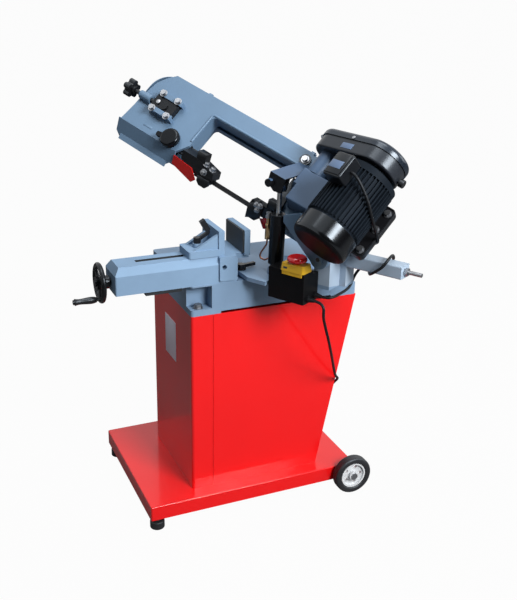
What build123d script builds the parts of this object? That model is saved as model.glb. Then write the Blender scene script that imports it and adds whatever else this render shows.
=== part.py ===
from build123d import *
from math import cos, pi, radians, sin, tan
import os

# Metal-cutting band saw on a wheeled cabinet. A bow with two band wheels is hinged over a cast
# bed with a vise. It is drawn turned to the 60 degree mitre stop and lifted off the work.
# Millimetres, +Z up. Places on the stand count from the tray's left end and front edge.
# Places on the swivel count from its pivot: r towards the hinge, f towards the front side.
# Places on the bow count from its hinge: u to the nose, d down the bow's face, n out of the face.

# Where the middle of the object's footprint lies on the stand
ORIGIN_X = 238.25
ORIGIN_Y = 155.38

# Driving dimensions of the stand
TRAY_LENGTH = 588.0
TRAY_WIDTH = 425.0
TRAY_TOP = 75.0
TRAY_BOTTOM = 35.0
SHEET = 2.0
CABINET_LEFT = 127.0
CABINET_FRONT = 42.5
CABINET_BACK = 348.0
CABINET_TOP = 564.0
CABINET_FOOT_RIGHT = 488.0
CABINET_TOP_RIGHT = 584.0
CORNER_STRIP = 57.0
AXLE_X = 571.0
AXLE_RADIUS = 6.0
WHEEL_RADIUS = 53.5
WHEEL_WIDTH = 28.0

# Driving dimensions of the bed and the vise
BED_TOP = 643.0
LOW_DECK = 595.0
BACK_DECK = 630.0
RAISED_RIGHT = 375.0
VISE_LEFT = -57.0
VISE_RIGHT = 197.0
VISE_FRONT = 43.5
VISE_BACK = 132.0
TABLE = 709.0
SCREW_Y = 88.0
SCREW_Z = 666.0
SCREW_RADIUS = 8.0
JAW_BACK = 165.0

# Driving dimensions of the swivel and the bow's pose
PIVOT_X = 275.0
PIVOT_Y = 188.0
MITRE = 60.0
HINGE_RADIUS = 307.0
HINGE_HEIGHT = 726.0
LIFT = 18.3
BLADE_TURN = 45.0
SWIVEL_BOTTOM = 648.0
SWIVEL_TOP = 658.0

# Driving dimensions of the bow
FACE = 28.0
FACE_PLATE = 8.0
WALL = 3.5
ARM_BACK = 24.0
ARM_FRONT = 40.0
LUG_RADIUS = 24.0
IDLER_U = 608.0
DRIVE_U = 80.0
WHEEL_D = -96.0
BAND_RADIUS = 92.0
BAND_WHEEL_HALF = 11.0
BLADE_WIDTH = 13.0
BLADE_THICK = 0.9
WORM_U = 121.0
WORM_N = 68.0
MOTOR_U = -14.0
MOTOR_N = 118.0
MOTOR_RADIUS = 71.0
FIT = 0.05
GAP = 0.3

os.makedirs("parts", exist_ok=True)

# Directions of the swivel and of the bow
UP = Vector(0, 0, 1)
REACH = Vector(cos(radians(MITRE)), -sin(radians(MITRE)), 0)
FORWARD = Vector(-sin(radians(MITRE)), -cos(radians(MITRE)), 0)
PIVOT = Vector(PIVOT_X - ORIGIN_X, PIVOT_Y - ORIGIN_Y, 0)
HINGE = PIVOT + REACH * HINGE_RADIUS + UP * HINGE_HEIGHT
ALONG = REACH * -cos(radians(LIFT)) + UP * sin(radians(LIFT))
PLUMB = REACH * -sin(radians(LIFT)) + UP * -cos(radians(LIFT))
SLOPE = PLUMB * cos(radians(BLADE_TURN)) + FORWARD * sin(radians(BLADE_TURN))
OUT = FORWARD * cos(radians(BLADE_TURN)) + PLUMB * -sin(radians(BLADE_TURN))


def deck(z):
    """Level plane of the stand at height z, drawn in (x, y)."""
    return Plane(origin=(-ORIGIN_X, -ORIGIN_Y, z))


def front(y):
    """Upright plane of the stand at depth y, drawn in (x, z), facing the front."""
    return Plane(origin=(-ORIGIN_X, y - ORIGIN_Y, 0), x_dir=(1, 0, 0), z_dir=(0, -1, 0))


def side(x):
    """Upright plane of the stand at place x, drawn in (y, z), facing right."""
    return Plane(origin=(x - ORIGIN_X, -ORIGIN_Y, 0), x_dir=(0, 1, 0), z_dir=(1, 0, 0))


def turn(z):
    """Level plane of the swivel at height z, drawn in (r, -f)."""
    return Plane(origin=PIVOT + UP * z, x_dir=REACH, z_dir=UP)


def cheek(f):
    """Upright plane along the swivel's reach at place f, drawn in (r, z), facing forward."""
    return Plane(origin=PIVOT + FORWARD * f, x_dir=REACH, z_dir=FORWARD)


def cross(r):
    """Upright plane across the swivel's reach at place r, drawn in (-f, z), facing outward."""
    return Plane(origin=PIVOT + REACH * r, x_dir=-FORWARD, z_dir=REACH)


def face(n):
    """Plane of the bow's face at height n, drawn in (u, d)."""
    return Plane(origin=HINGE + OUT * n, x_dir=ALONG, z_dir=OUT)


def leaf(f):
    """Upright plane along the bow at place f, drawn in (u, plumb), facing forward."""
    return Plane(origin=HINGE + FORWARD * f, x_dir=ALONG, z_dir=FORWARD)


def shaft(d):
    """Plane square to the motor's shaft at place d, drawn in (u, n), facing up the shaft."""
    return Plane(origin=HINGE + SLOPE * d, x_dir=ALONG, z_dir=-SLOPE)


def slice_along(u):
    """Plane square to the bow's length at place u, drawn in (d, n), facing the nose."""
    return Plane(origin=HINGE + ALONG * u, x_dir=SLOPE, z_dir=ALONG)


def finish(piece, name):
    """Label a finished piece and write it out."""
    piece.part.label = name
    export_step(piece.part, f"parts/{name}.step")


def hex_bolts(plane, places, across, length):
    """Hexagon bolts with washers standing on a plane, as separate solids."""
    head = 0.62 * across
    with BuildPart() as bolts:
        with BuildSketch(plane):
            with Locations(*places):
                Circle(0.78 * across)
        extrude(amount=0.12 * across)
        with BuildSketch(plane.offset(0.12 * across)):
            with Locations(*places):
                RegularPolygon(across / 2, 6, major_radius=False)
        extrude(amount=head - 0.12 * across)
        with BuildSketch(plane):
            with Locations(*places):
                Circle(0.28 * across)
        extrude(amount=-length)
    return bolts.part


# Tray: folded sheet, open below, with the wheel axle through its right end
with BuildPart() as stand_tray:
    with BuildSketch(deck(TRAY_BOTTOM)):
        with Locations((TRAY_LENGTH / 2, TRAY_WIDTH / 2)):
            RectangleRounded(TRAY_LENGTH, TRAY_WIDTH, 5)
    extrude(amount=TRAY_TOP - TRAY_BOTTOM)
    tray_top_edges = stand_tray.faces().sort_by(Axis.Z)[-1].edges()
    fillet(tray_top_edges, radius=3)
    tray_floor = stand_tray.faces().sort_by(Axis.Z)[0]
    offset(amount=-SHEET, openings=tray_floor)
    with BuildSketch(front(-1)):
        with Locations((AXLE_X, WHEEL_RADIUS)):
            Circle(AXLE_RADIUS)
    extrude(amount=-(TRAY_WIDTH + 2), mode=Mode.SUBTRACT)
finish(stand_tray, "stand_tray")

# Rubber feet on studs under the tray's left corners
FOOT_INSET = 22.0
FOOT_RADIUS = 19.0
with BuildPart() as stand_feet:
    with BuildSketch(deck(0)):
        with Locations((FOOT_INSET, FOOT_INSET), (FOOT_INSET, TRAY_WIDTH - FOOT_INSET)):
            Circle(FOOT_RADIUS)
    extrude(amount=22)
    fillet(stand_feet.edges().group_by(Axis.Z)[0], radius=3)
    fillet(stand_feet.edges().group_by(Axis.Z)[-1], radius=4)
    with BuildSketch(deck(22)):
        with Locations((FOOT_INSET, FOOT_INSET), (FOOT_INSET, TRAY_WIDTH - FOOT_INSET)):
            RegularPolygon(11, 6)
    extrude(amount=10)
    with BuildSketch(deck(32)):
        with Locations((FOOT_INSET, FOOT_INSET), (FOOT_INSET, TRAY_WIDTH - FOOT_INSET)):
            Circle(5)
    extrude(amount=TRAY_TOP - SHEET - 32)
finish(stand_feet, "stand_feet")

# Wheel axle with its end caps, and a wheel at each end
WHEEL_INSET = 6.0
CAP = 3.0
with BuildPart() as wheel_axle:
    with BuildSketch(front(-WHEEL_INSET - WHEEL_WIDTH - 1)):
        with Locations((AXLE_X, WHEEL_RADIUS)):
            Circle(AXLE_RADIUS)
    extrude(amount=-(TRAY_WIDTH + 2 * (WHEEL_INSET + WHEEL_WIDTH + 1)))
    with BuildSketch(front(-WHEEL_INSET - WHEEL_WIDTH - 1)):
        with Locations((AXLE_X, WHEEL_RADIUS)):
            Circle(AXLE_RADIUS + 3)
    extrude(amount=CAP)
    with BuildSketch(front(TRAY_WIDTH + WHEEL_INSET + WHEEL_WIDTH + 1)):
        with Locations((AXLE_X, WHEEL_RADIUS)):
            Circle(AXLE_RADIUS + 3)
    extrude(amount=-CAP)
finish(wheel_axle, "wheel_axle")

RIM_RADIUS = 36.0
HUB_RADIUS = 13.0
for wheel_name, wheel_front in (("front", -WHEEL_INSET - WHEEL_WIDTH), ("rear", TRAY_WIDTH + WHEEL_INSET)):
    centre = Vector(AXLE_X - ORIGIN_X, wheel_front - ORIGIN_Y + WHEEL_WIDTH / 2, WHEEL_RADIUS)
    wheel_axis = Axis(centre, (0, 1, 0))
    section = Plane(origin=centre, x_dir=(1, 0, 0), z_dir=(0, 0, 1))
    with BuildPart() as tyre:
        with BuildSketch(section):
            with Locations(((RIM_RADIUS + WHEEL_RADIUS) / 2, 0)):
                RectangleRounded(WHEEL_RADIUS - RIM_RADIUS, WHEEL_WIDTH, 6)
        revolve(axis=wheel_axis)
    finish(tyre, f"{wheel_name}_wheel_tyre")
    with BuildPart() as rim:
        with BuildSketch(section):
            with Locations((RIM_RADIUS - 2, 0)):
                Rectangle(4, 22)
            with Locations(((RIM_RADIUS + HUB_RADIUS) / 2 - 3, 0)):
                Rectangle(RIM_RADIUS - HUB_RADIUS, 8)
            with Locations(((AXLE_RADIUS + FIT + HUB_RADIUS) / 2, 0)):
                Rectangle(HUB_RADIUS - AXLE_RADIUS - FIT, WHEEL_WIDTH)
        revolve(axis=wheel_axis)
        with BuildSketch(front(wheel_front)):
            with Locations((AXLE_X, WHEEL_RADIUS)):
                with PolarLocations(23.5, 5):
                    Circle(5)
        extrude(amount=-WHEEL_WIDTH, mode=Mode.SUBTRACT)
    finish(rim, f"{wheel_name}_wheel_rim")

# Cabinet: left sheet with turned-in flanges, slanting right sheet, front and back panels
FLANGE = 34.0
with BuildPart() as stand_cabinet:
    with BuildSketch(deck(TRAY_TOP)):
        with BuildLine():
            FilletPolyline(
                (CABINET_LEFT + CORNER_STRIP, CABINET_FRONT + SHEET / 2),
                (CABINET_LEFT + SHEET / 2, CABINET_FRONT + SHEET / 2),
                (CABINET_LEFT + SHEET / 2, CABINET_BACK - SHEET / 2),
                (CABINET_LEFT + CORNER_STRIP, CABINET_BACK - SHEET / 2),
                radius=6,
            )
        trace(line_width=SHEET)
    extrude(amount=CABINET_TOP - TRAY_TOP)
    with BuildSketch(front(CABINET_FRONT + SHEET + GAP)):
        with BuildLine():
            Polyline(
                (CABINET_FOOT_RIGHT - SHEET, TRAY_TOP),
                (CABINET_FOOT_RIGHT, TRAY_TOP),
                (CABINET_TOP_RIGHT, CABINET_TOP),
                (CABINET_TOP_RIGHT - SHEET, CABINET_TOP),
                close=True,
            )
        make_face()
    extrude(amount=-(CABINET_BACK - CABINET_FRONT - 2 * SHEET - 2 * GAP))
    with BuildSketch(front(CABINET_FRONT + SHEET + GAP), front(CABINET_BACK - 2 * SHEET - GAP)):
        with BuildLine():
            Polyline(
                (CABINET_FOOT_RIGHT - FLANGE, TRAY_TOP),
                (CABINET_FOOT_RIGHT - SHEET, TRAY_TOP),
                (CABINET_TOP_RIGHT - SHEET, CABINET_TOP),
                (CABINET_TOP_RIGHT - FLANGE, CABINET_TOP),
                close=True,
            )
        make_face()
    extrude(amount=-SHEET)
    with BuildSketch(front(CABINET_FRONT), front(CABINET_BACK - SHEET)):
        with BuildLine():
            Polyline(
                (CABINET_LEFT + CORNER_STRIP + 1, TRAY_TOP),
                (CABINET_FOOT_RIGHT, TRAY_TOP),
                (CABINET_TOP_RIGHT, CABINET_TOP),
                (CABINET_LEFT + CORNER_STRIP + 1, CABINET_TOP),
                close=True,
            )
        make_face()
    extrude(amount=-SHEET)
finish(stand_cabinet, "stand_cabinet")

# Bed: hollow casting, high under the vise, low where the switch box swings over it
BED_WALL = 10.0
BED_BACK_FRONT = 210.0
POCKET = 40.0
POCKET_RIGHT = 181.0
CORNER_BLOCK = 54.0
BOLT_LEFT = 150.0
BOLT_RIGHT = 562.0
BOLT_FRONT = 58.0
BOLT_BACK = 330.0
POCKET_FLOOR = 580.0
TURNTABLE_RADIUS = 55.0
bed_mid = (CABINET_FRONT + CABINET_BACK) / 2
bed_hollow = CABINET_BACK - CABINET_FRONT - 2 * BED_WALL
low_hollow = CABINET_TOP_RIGHT - CABINET_LEFT - 2 * BED_WALL - CORNER_BLOCK
high_hollow = RAISED_RIGHT - CABINET_LEFT - 2 * BED_WALL - CORNER_BLOCK
with BuildPart() as bed:
    with BuildSketch(front(CABINET_FRONT)):
        with BuildLine():
            Polyline(
                (CABINET_LEFT, CABINET_TOP),
                (CABINET_TOP_RIGHT, CABINET_TOP),
                (CABINET_TOP_RIGHT, LOW_DECK),
                (RAISED_RIGHT + 12, LOW_DECK),
                (RAISED_RIGHT, LOW_DECK + 12),
                (RAISED_RIGHT, BED_TOP),
                (CABINET_LEFT, BED_TOP),
                close=True,
            )
        make_face()
    extrude(amount=-(CABINET_BACK - CABINET_FRONT))
    with BuildSketch(deck(LOW_DECK - 1)):
        with Locations(((RAISED_RIGHT + CABINET_TOP_RIGHT) / 2 - 5, (BED_BACK_FRONT + CABINET_BACK) / 2)):
            Rectangle(CABINET_TOP_RIGHT - RAISED_RIGHT + 10, CABINET_BACK - BED_BACK_FRONT)
    extrude(amount=BACK_DECK - LOW_DECK + 1)
    fillet(bed.edges().filter_by(Axis.Z).filter_by(lambda edge: edge.length > 20), radius=8)
    with BuildSketch(deck(CABINET_TOP)):
        with Locations(((CABINET_LEFT + CABINET_TOP_RIGHT + CORNER_BLOCK) / 2, bed_mid)):
            Rectangle(low_hollow, bed_hollow)
        with Locations((CABINET_LEFT + BED_WALL + CORNER_BLOCK / 2 + 0.5, bed_mid + POCKET / 2)):
            Rectangle(CORNER_BLOCK + 1, bed_hollow - POCKET)
    extrude(amount=LOW_DECK - BED_WALL - CABINET_TOP, mode=Mode.SUBTRACT)
    with BuildSketch(deck(LOW_DECK - BED_WALL - 1)):
        with Locations(((CABINET_LEFT + RAISED_RIGHT + CORNER_BLOCK) / 2, bed_mid)):
            Rectangle(high_hollow, bed_hollow)
    extrude(amount=BED_TOP - LOW_DECK + 1, mode=Mode.SUBTRACT)
    with BuildSketch(deck(POCKET_FLOOR)):
        with Locations(((CABINET_LEFT - 10 + POCKET_RIGHT) / 2, CABINET_FRONT + POCKET / 2 - 5)):
            Rectangle(POCKET_RIGHT - CABINET_LEFT + 10, POCKET)
    extrude(amount=BED_TOP - 4 - POCKET_FLOOR, mode=Mode.SUBTRACT)
    with BuildSketch(deck(BED_TOP)):
        with Locations((PIVOT_X, PIVOT_Y)):
            Circle(TURNTABLE_RADIUS)
    extrude(amount=SWIVEL_BOTTOM - GAP - BED_TOP)
    with BuildSketch(front(CABINET_FRONT - 1)):
        with Locations(((205 + 510) / 2, CABINET_TOP)):
            Rectangle(305, 12)
    extrude(amount=-BED_WALL - 2, mode=Mode.SUBTRACT)
    with BuildSketch(deck(BED_TOP + 10)):
        with Locations((PIVOT_X, PIVOT_Y)):
            Circle(10 + FIT)
    extrude(amount=-40, mode=Mode.SUBTRACT)
    with BuildSketch(deck(BED_TOP)):
        with Locations((BOLT_LEFT, BOLT_FRONT), (BOLT_RIGHT, BOLT_FRONT), (BOLT_RIGHT, BOLT_BACK)):
            Circle(4.9)
    extrude(amount=CABINET_TOP - BED_TOP, mode=Mode.SUBTRACT)
finish(bed, "bed")

# Vise body: long casting with a sloped roof, slotted for the jaw and open below
EAVE = 690.0
ROOF = 11.5
VISE_CAVITY = 188.0
SLOT_LEFT = 4.0
SLOT_HALF = 7.0
with BuildPart() as vise_body:
    with BuildSketch(side(VISE_LEFT)):
        with BuildLine():
            Polyline(
                (VISE_FRONT, BED_TOP),
                (VISE_BACK, BED_TOP),
                (VISE_BACK, EAVE),
                (VISE_BACK - ROOF, TABLE),
                (VISE_FRONT + ROOF, TABLE),
                (VISE_FRONT, EAVE),
                close=True,
            )
        make_face()
    extrude(amount=VISE_RIGHT - VISE_LEFT)
    with BuildSketch(front(VISE_FRONT - 1)):
        with BuildLine():
            Polyline(
                (VISE_LEFT - 1, EAVE - 1),
                (VISE_LEFT + ROOF + 1, TABLE + 1),
                (VISE_LEFT - 1, TABLE + 1),
                close=True,
            )
        make_face()
    extrude(amount=-(VISE_BACK - VISE_FRONT + 2), mode=Mode.SUBTRACT)
    fillet(vise_body.edges().filter_by(Axis.X).group_by(Axis.Z)[-1], radius=2.5)
    fillet(vise_body.edges().filter_by(Axis.Z).group_by(Axis.X)[0], radius=4)
    with BuildSketch(deck(BED_TOP)):
        with Locations(((VISE_LEFT + 12 + VISE_CAVITY) / 2, SCREW_Y)):
            Rectangle(VISE_CAVITY - VISE_LEFT - 12, 60)
    extrude(amount=TABLE - 12 - BED_TOP, mode=Mode.SUBTRACT)
    with BuildSketch(deck(TABLE)):
        with Locations(((SLOT_LEFT + VISE_RIGHT + 1) / 2, SCREW_Y)):
            Rectangle(VISE_RIGHT + 1 - SLOT_LEFT, 2 * SLOT_HALF)
    extrude(amount=-13, mode=Mode.SUBTRACT)
    with BuildSketch(side(VISE_LEFT - 1)):
        with Locations((SCREW_Y, SCREW_Z)):
            Circle(SCREW_RADIUS + FIT)
    extrude(amount=14, mode=Mode.SUBTRACT)
finish(vise_body, "vise_body")

# Handwheel with three spokes, the stud of its crank handle, and the lead screw with its collar
HANDWHEEL_X = -83.0
HANDWHEEL_RADIUS = 49.0
RIM_SECTION = 6.0
CRANK_DROP = 41.0
CRANK_LENGTH = 52.0
wheel_centre = Vector(HANDWHEEL_X - ORIGIN_X, SCREW_Y - ORIGIN_Y, SCREW_Z)
wheel_section = Plane(origin=wheel_centre, x_dir=(0, 0, 1), z_dir=(0, 1, 0))
with BuildPart() as handwheel:
    with BuildSketch(wheel_section):
        with Locations((HANDWHEEL_RADIUS - RIM_SECTION, 0)):
            Circle(RIM_SECTION)
        with Locations(((SCREW_RADIUS + 16) / 2, 6)):
            Rectangle(16 - SCREW_RADIUS, 30)
    revolve(axis=Axis(wheel_centre, (1, 0, 0)))
    with BuildSketch(side(HANDWHEEL_X - 3)):
        with Locations((SCREW_Y, SCREW_Z)):
            with PolarLocations(28, 3, start_angle=30):
                Rectangle(28, 11)
    extrude(amount=7)
    with BuildSketch(side(HANDWHEEL_X)):
        with Locations((SCREW_Y, SCREW_Z - CRANK_DROP)):
            Circle(4)
    extrude(amount=-(RIM_SECTION + 4 + CRANK_LENGTH))
    with BuildSketch(side(HANDWHEEL_X - RIM_SECTION - 4 - CRANK_LENGTH)):
        with Locations((SCREW_Y, SCREW_Z - CRANK_DROP)):
            Circle(6)
    extrude(amount=-3)
    with BuildSketch(side(VISE_LEFT - 38)):
        with Locations((SCREW_Y, SCREW_Z)):
            Circle(SCREW_RADIUS)
    extrude(amount=VISE_CAVITY - 4 - VISE_LEFT + 38)
    with BuildSketch(side(VISE_LEFT + 12 + GAP)):
        with Locations((SCREW_Y, SCREW_Z)):
            Circle(SCREW_RADIUS + 5)
    extrude(amount=8)
finish(handwheel, "handwheel")

# Crank handle: a waisted grip that spins on the handwheel's stud
crank_start = Vector(HANDWHEEL_X - RIM_SECTION - 3 - ORIGIN_X, SCREW_Y - ORIGIN_Y, SCREW_Z - CRANK_DROP)
crank_section = Plane(origin=crank_start, x_dir=(-1, 0, 0), z_dir=(0, -1, 0))
with BuildPart() as crank_handle:
    with BuildSketch(crank_section):
        with BuildLine():
            Line((0, 4 + FIT), (0, 6))
            Spline((0, 6), (16, 8.5), (34, 7), (CRANK_LENGTH, 8.5))
            Line((CRANK_LENGTH, 8.5), (CRANK_LENGTH, 4 + FIT))
            Line((CRANK_LENGTH, 4 + FIT), (0, 4 + FIT))
        make_face()
    revolve(axis=Axis(crank_start, (-1, 0, 0)))
finish(crank_handle, "crank_handle")

# Movable jaw: base on the table, upright face, two gussets, and the nut on the lead screw below
JAW_LEFT = 126.0
JAW_FACE = 217.0
JAW_FRONT = 51.0
JAW_BASE_BACK = 125.0
JAW_BASE_TOP = 727.0
JAW_TOP = 771.0
JAW_THICK = 15.0
LEVER_X = 160.0
LEVER_Y = 88.0
NUT_LEFT = 112.0
NUT_RIGHT = 140.0
NUT_BOTTOM = 650.0
NUT_TOP = 692.0
with BuildPart() as movable_jaw:
    with BuildSketch(deck(TABLE + GAP)):
        with Locations(((JAW_LEFT + JAW_FACE) / 2, (JAW_FRONT + JAW_BASE_BACK) / 2)):
            RectangleRounded(JAW_FACE - JAW_LEFT, JAW_BASE_BACK - JAW_FRONT, 6)
    extrude(amount=JAW_BASE_TOP - TABLE - GAP)
    with BuildSketch(side(JAW_FACE - JAW_THICK)):
        with Locations(((JAW_FRONT + JAW_BACK) / 2, (TABLE + GAP + JAW_TOP) / 2)):
            Rectangle(JAW_BACK - JAW_FRONT, JAW_TOP - TABLE - GAP)
    extrude(amount=JAW_THICK)
    with BuildSketch(front(JAW_FRONT + 4), front(JAW_BASE_BACK - 14)):
        with BuildLine():
            Polyline(
                (JAW_LEFT + 12, JAW_BASE_TOP - 1),
                (JAW_FACE - JAW_THICK + 1, JAW_BASE_TOP - 1),
                (JAW_FACE - JAW_THICK + 1, JAW_TOP - 8),
                close=True,
            )
        make_face()
    extrude(amount=-10)
    with BuildSketch(deck(JAW_BASE_TOP)):
        with Locations((LEVER_X, LEVER_Y)):
            Circle(11)
    extrude(amount=10)
    with BuildSketch(deck(NUT_BOTTOM)):
        with Locations(((NUT_LEFT + NUT_RIGHT) / 2, SCREW_Y)):
            RectangleRounded(NUT_RIGHT - NUT_LEFT, 36, 4)
    extrude(amount=NUT_TOP - NUT_BOTTOM)
    with BuildSketch(deck(NUT_TOP - 1)):
        with Locations(((JAW_LEFT + NUT_RIGHT) / 2, SCREW_Y)):
            Rectangle(NUT_RIGHT - JAW_LEFT, 2 * (SLOT_HALF - GAP))
    extrude(amount=TABLE + GAP + 2 - NUT_TOP)
    with BuildSketch(side(NUT_LEFT - 1)):
        with Locations((SCREW_Y, SCREW_Z)):
            Circle(SCREW_RADIUS + GAP)
    extrude(amount=NUT_RIGHT - NUT_LEFT + 2, mode=Mode.SUBTRACT)
finish(movable_jaw, "movable_jaw")

# Lock lever of the jaw: hub, cranked arm and a fat grip
LEVER_HUB = JAW_BASE_TOP + 10 + GAP
with BuildPart() as lock_lever:
    with BuildSketch(deck(LEVER_HUB)):
        with Locations((LEVER_X, LEVER_Y)):
            Circle(9)
    extrude(amount=14)
    with BuildSketch(front(LEVER_Y)):
        with BuildLine():
            FilletPolyline(
                (LEVER_X, LEVER_HUB + 7),
                (LEVER_X + 30, LEVER_HUB + 24),
                (LEVER_X + 14, LEVER_HUB + 52),
                radius=6,
            )
        trace(line_width=8)
    extrude(amount=4, both=True)
    with BuildSketch(front(LEVER_Y)):
        with BuildLine():
            Line((LEVER_X + 27, LEVER_HUB + 29), (LEVER_X + 12, LEVER_HUB + 55))
        trace(line_width=13)
    extrude(amount=6.5, both=True)
finish(lock_lever, "lock_lever")

# Fixed jaw: carrier bolted to the bed behind the vise body, with a front pad and an overhanging jaw
CARRIER_RIGHT = 247.0
FIXED_FACE = 269.0
FIXED_TOP = 767.0
STOP_ROD_X = 212.0
STOP_ROD_Z = 684.0
STOP_ROD_RADIUS = 6.0
PAD_FACE = 38.0
with BuildPart() as fixed_jaw:
    with BuildSketch(side(VISE_RIGHT)):
        with BuildLine():
            Polyline(
                (VISE_FRONT, BED_TOP),
                (VISE_BACK, BED_TOP),
                (VISE_BACK, EAVE),
                (VISE_BACK - ROOF, TABLE),
                (VISE_FRONT + ROOF, TABLE),
                (VISE_FRONT, EAVE),
                close=True,
            )
        make_face()
    extrude(amount=CARRIER_RIGHT - VISE_RIGHT)
    with BuildSketch(deck(TABLE - 14)):
        with Locations(((CARRIER_RIGHT + FIXED_FACE + JAW_THICK) / 2 - 2, (JAW_FRONT + 9 + JAW_BACK) / 2)):
            Rectangle(FIXED_FACE + JAW_THICK - CARRIER_RIGHT + 4, JAW_BACK - JAW_FRONT - 9)
    extrude(amount=14)
    with BuildSketch(side(FIXED_FACE)):
        with Locations(((JAW_FRONT + JAW_BACK) / 2, (TABLE - 5 + FIXED_TOP) / 2)):
            Rectangle(JAW_BACK - JAW_FRONT, FIXED_TOP - TABLE + 5)
    extrude(amount=JAW_THICK)
    with BuildSketch(front(PAD_FACE)):
        with Locations(((VISE_RIGHT + CARRIER_RIGHT) / 2 + 1, (BED_TOP + TABLE) / 2 + 3)):
            RectangleRounded(CARRIER_RIGHT - VISE_RIGHT - 4, TABLE - BED_TOP - 6, 4)
    extrude(amount=PAD_FACE - VISE_FRONT - ROOF)
    with BuildSketch(front(PAD_FACE - 1)):
        with Locations((STOP_ROD_X, STOP_ROD_Z)):
            Circle(STOP_ROD_RADIUS)
    extrude(amount=-24, mode=Mode.SUBTRACT)
finish(fixed_jaw, "fixed_jaw")

# Hardened plate on the fixed jaw
with BuildPart() as jaw_plate:
    with BuildSketch(side(FIXED_FACE)):
        with Locations(((JAW_FRONT + JAW_BACK) / 2, (TABLE + FIXED_TOP) / 2)):
            Rectangle(JAW_BACK - JAW_FRONT - 3, FIXED_TOP - TABLE - 2)
    extrude(amount=-4)
finish(jaw_plate, "jaw_plate")

# Bolts that hold the bed on the stand
with BuildPart() as frame_bolts:
    add(hex_bolts(deck(POCKET_FLOOR), [(BOLT_LEFT, BOLT_FRONT)], 17, POCKET_FLOOR - CABINET_TOP))
    add(hex_bolts(deck(LOW_DECK), [(BOLT_RIGHT, BOLT_FRONT)], 17, LOW_DECK - CABINET_TOP))
    add(hex_bolts(deck(BACK_DECK), [(BOLT_RIGHT, BOLT_BACK)], 17, BACK_DECK - CABINET_TOP))
finish(frame_bolts, "frame_bolts")

# Swivel base: plate with the bow's hinge post, the spring's beam and the lift cylinder's ears
KNUCKLE_RADIUS = 22.0
KNUCKLE_BACK = -8.0
KNUCKLE_FRONT = 22.0
PIN_RADIUS = 10.0
POST_R = 329.0
POST_END = 346.0
BEAM_BACK = -62.0
BEAM_FRONT = -22.0
BEAM_BOTTOM = 700.0
BEAM_TOP = 731.0
BEAM_END = 492.0
BEAM_MID = (BEAM_BOTTOM + BEAM_TOP) / 2
BEAM_F = (BEAM_BACK + BEAM_FRONT) / 2
BOX_LEFT = 197.0
BOX_RIGHT = 298.0
BOX_BACK = 44.0
BOX_FRONT = 85.0
FOOT_R = 174.0
FOOT_Z = 668.0
LIFT_F = 25.0
EAR_INNER = 10.3
with BuildPart() as swivel_base:
    with BuildSketch(turn(SWIVEL_BOTTOM)):
        with BuildLine():
            Polyline(
                (0, TURNTABLE_RADIUS),
                (POST_END, -BEAM_BACK),
                (POST_END, 24),
                (POST_R, 24),
                (POST_R, -KNUCKLE_FRONT),
                (BOX_LEFT + 29, -KNUCKLE_FRONT + 1),
                (BOX_LEFT + 29, -BOX_BACK),
                (BOX_LEFT - 5, -BOX_BACK),
                (BOX_LEFT - 5, -92),
                (140, -92),
                (111, -78),
                (40, -44),
                close=True,
            )
        make_face()
        Circle(TURNTABLE_RADIUS)
    extrude(amount=SWIVEL_TOP - SWIVEL_BOTTOM)
    with BuildSketch(turn(SWIVEL_TOP)):
        Circle(32)
    extrude(amount=10)
    with BuildSketch(cross(HINGE_RADIUS - KNUCKLE_RADIUS)):
        with BuildLine():
            Polyline(
                (-KNUCKLE_FRONT, SWIVEL_TOP - 1),
                (42, SWIVEL_TOP - 1),
                (42, 697),
                (-KNUCKLE_BACK, 712),
                (-KNUCKLE_BACK, HINGE_HEIGHT),
                (-KNUCKLE_FRONT, HINGE_HEIGHT),
                close=True,
            )
        make_face()
    extrude(amount=2 * KNUCKLE_RADIUS)
    with BuildSketch(cheek(KNUCKLE_BACK)):
        with Locations((HINGE_RADIUS, HINGE_HEIGHT)):
            Circle(KNUCKLE_RADIUS)
    extrude(amount=KNUCKLE_FRONT - KNUCKLE_BACK)
    with BuildSketch(turn(SWIVEL_TOP - 1)):
        with Locations(((POST_R + POST_END) / 2, (24 - BEAM_BACK) / 2)):
            Rectangle(POST_END - POST_R, -BEAM_BACK - 24)
    extrude(amount=BEAM_TOP - SWIVEL_TOP + 1)
    with BuildSketch(cheek(LIFT_F - EAR_INNER - 6), cheek(LIFT_F + EAR_INNER)):
        with Locations((FOOT_R, (SWIVEL_TOP - 1 + FOOT_Z) / 2)):
            Rectangle(26, FOOT_Z - SWIVEL_TOP + 1)
        with Locations((FOOT_R, FOOT_Z)):
            Circle(13)
    extrude(amount=6)
    with BuildSketch(cheek(-80)):
        with Locations((HINGE_RADIUS, HINGE_HEIGHT)):
            Circle(PIN_RADIUS)
        with Locations((FOOT_R, FOOT_Z)):
            Circle(5)
    extrude(amount=160, mode=Mode.SUBTRACT)
    with BuildSketch(turn(SWIVEL_BOTTOM - 1)):
        Circle(PIN_RADIUS)
    extrude(amount=40, mode=Mode.SUBTRACT)
    with BuildSketch(cross(POST_END - 1)):
        with Locations((-BEAM_F, BEAM_MID)):
            RectangleRounded(BEAM_FRONT - BEAM_BACK, BEAM_TOP - BEAM_BOTTOM, 3)
    extrude(amount=BEAM_END - POST_END + 1)
    with BuildSketch(cross(POST_END)):
        with Locations((-BEAM_F, BEAM_MID)):
            Rectangle(BEAM_FRONT - BEAM_BACK - 6, BEAM_TOP - BEAM_BOTTOM - 6)
    extrude(amount=BEAM_END - POST_END - 5, mode=Mode.SUBTRACT)
    with BuildSketch(cross(BEAM_END - 10)):
        with Locations((-BEAM_F, BEAM_MID)):
            Circle(5 + FIT)
    extrude(amount=20, mode=Mode.SUBTRACT)
finish(swivel_base, "swivel_base")

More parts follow.
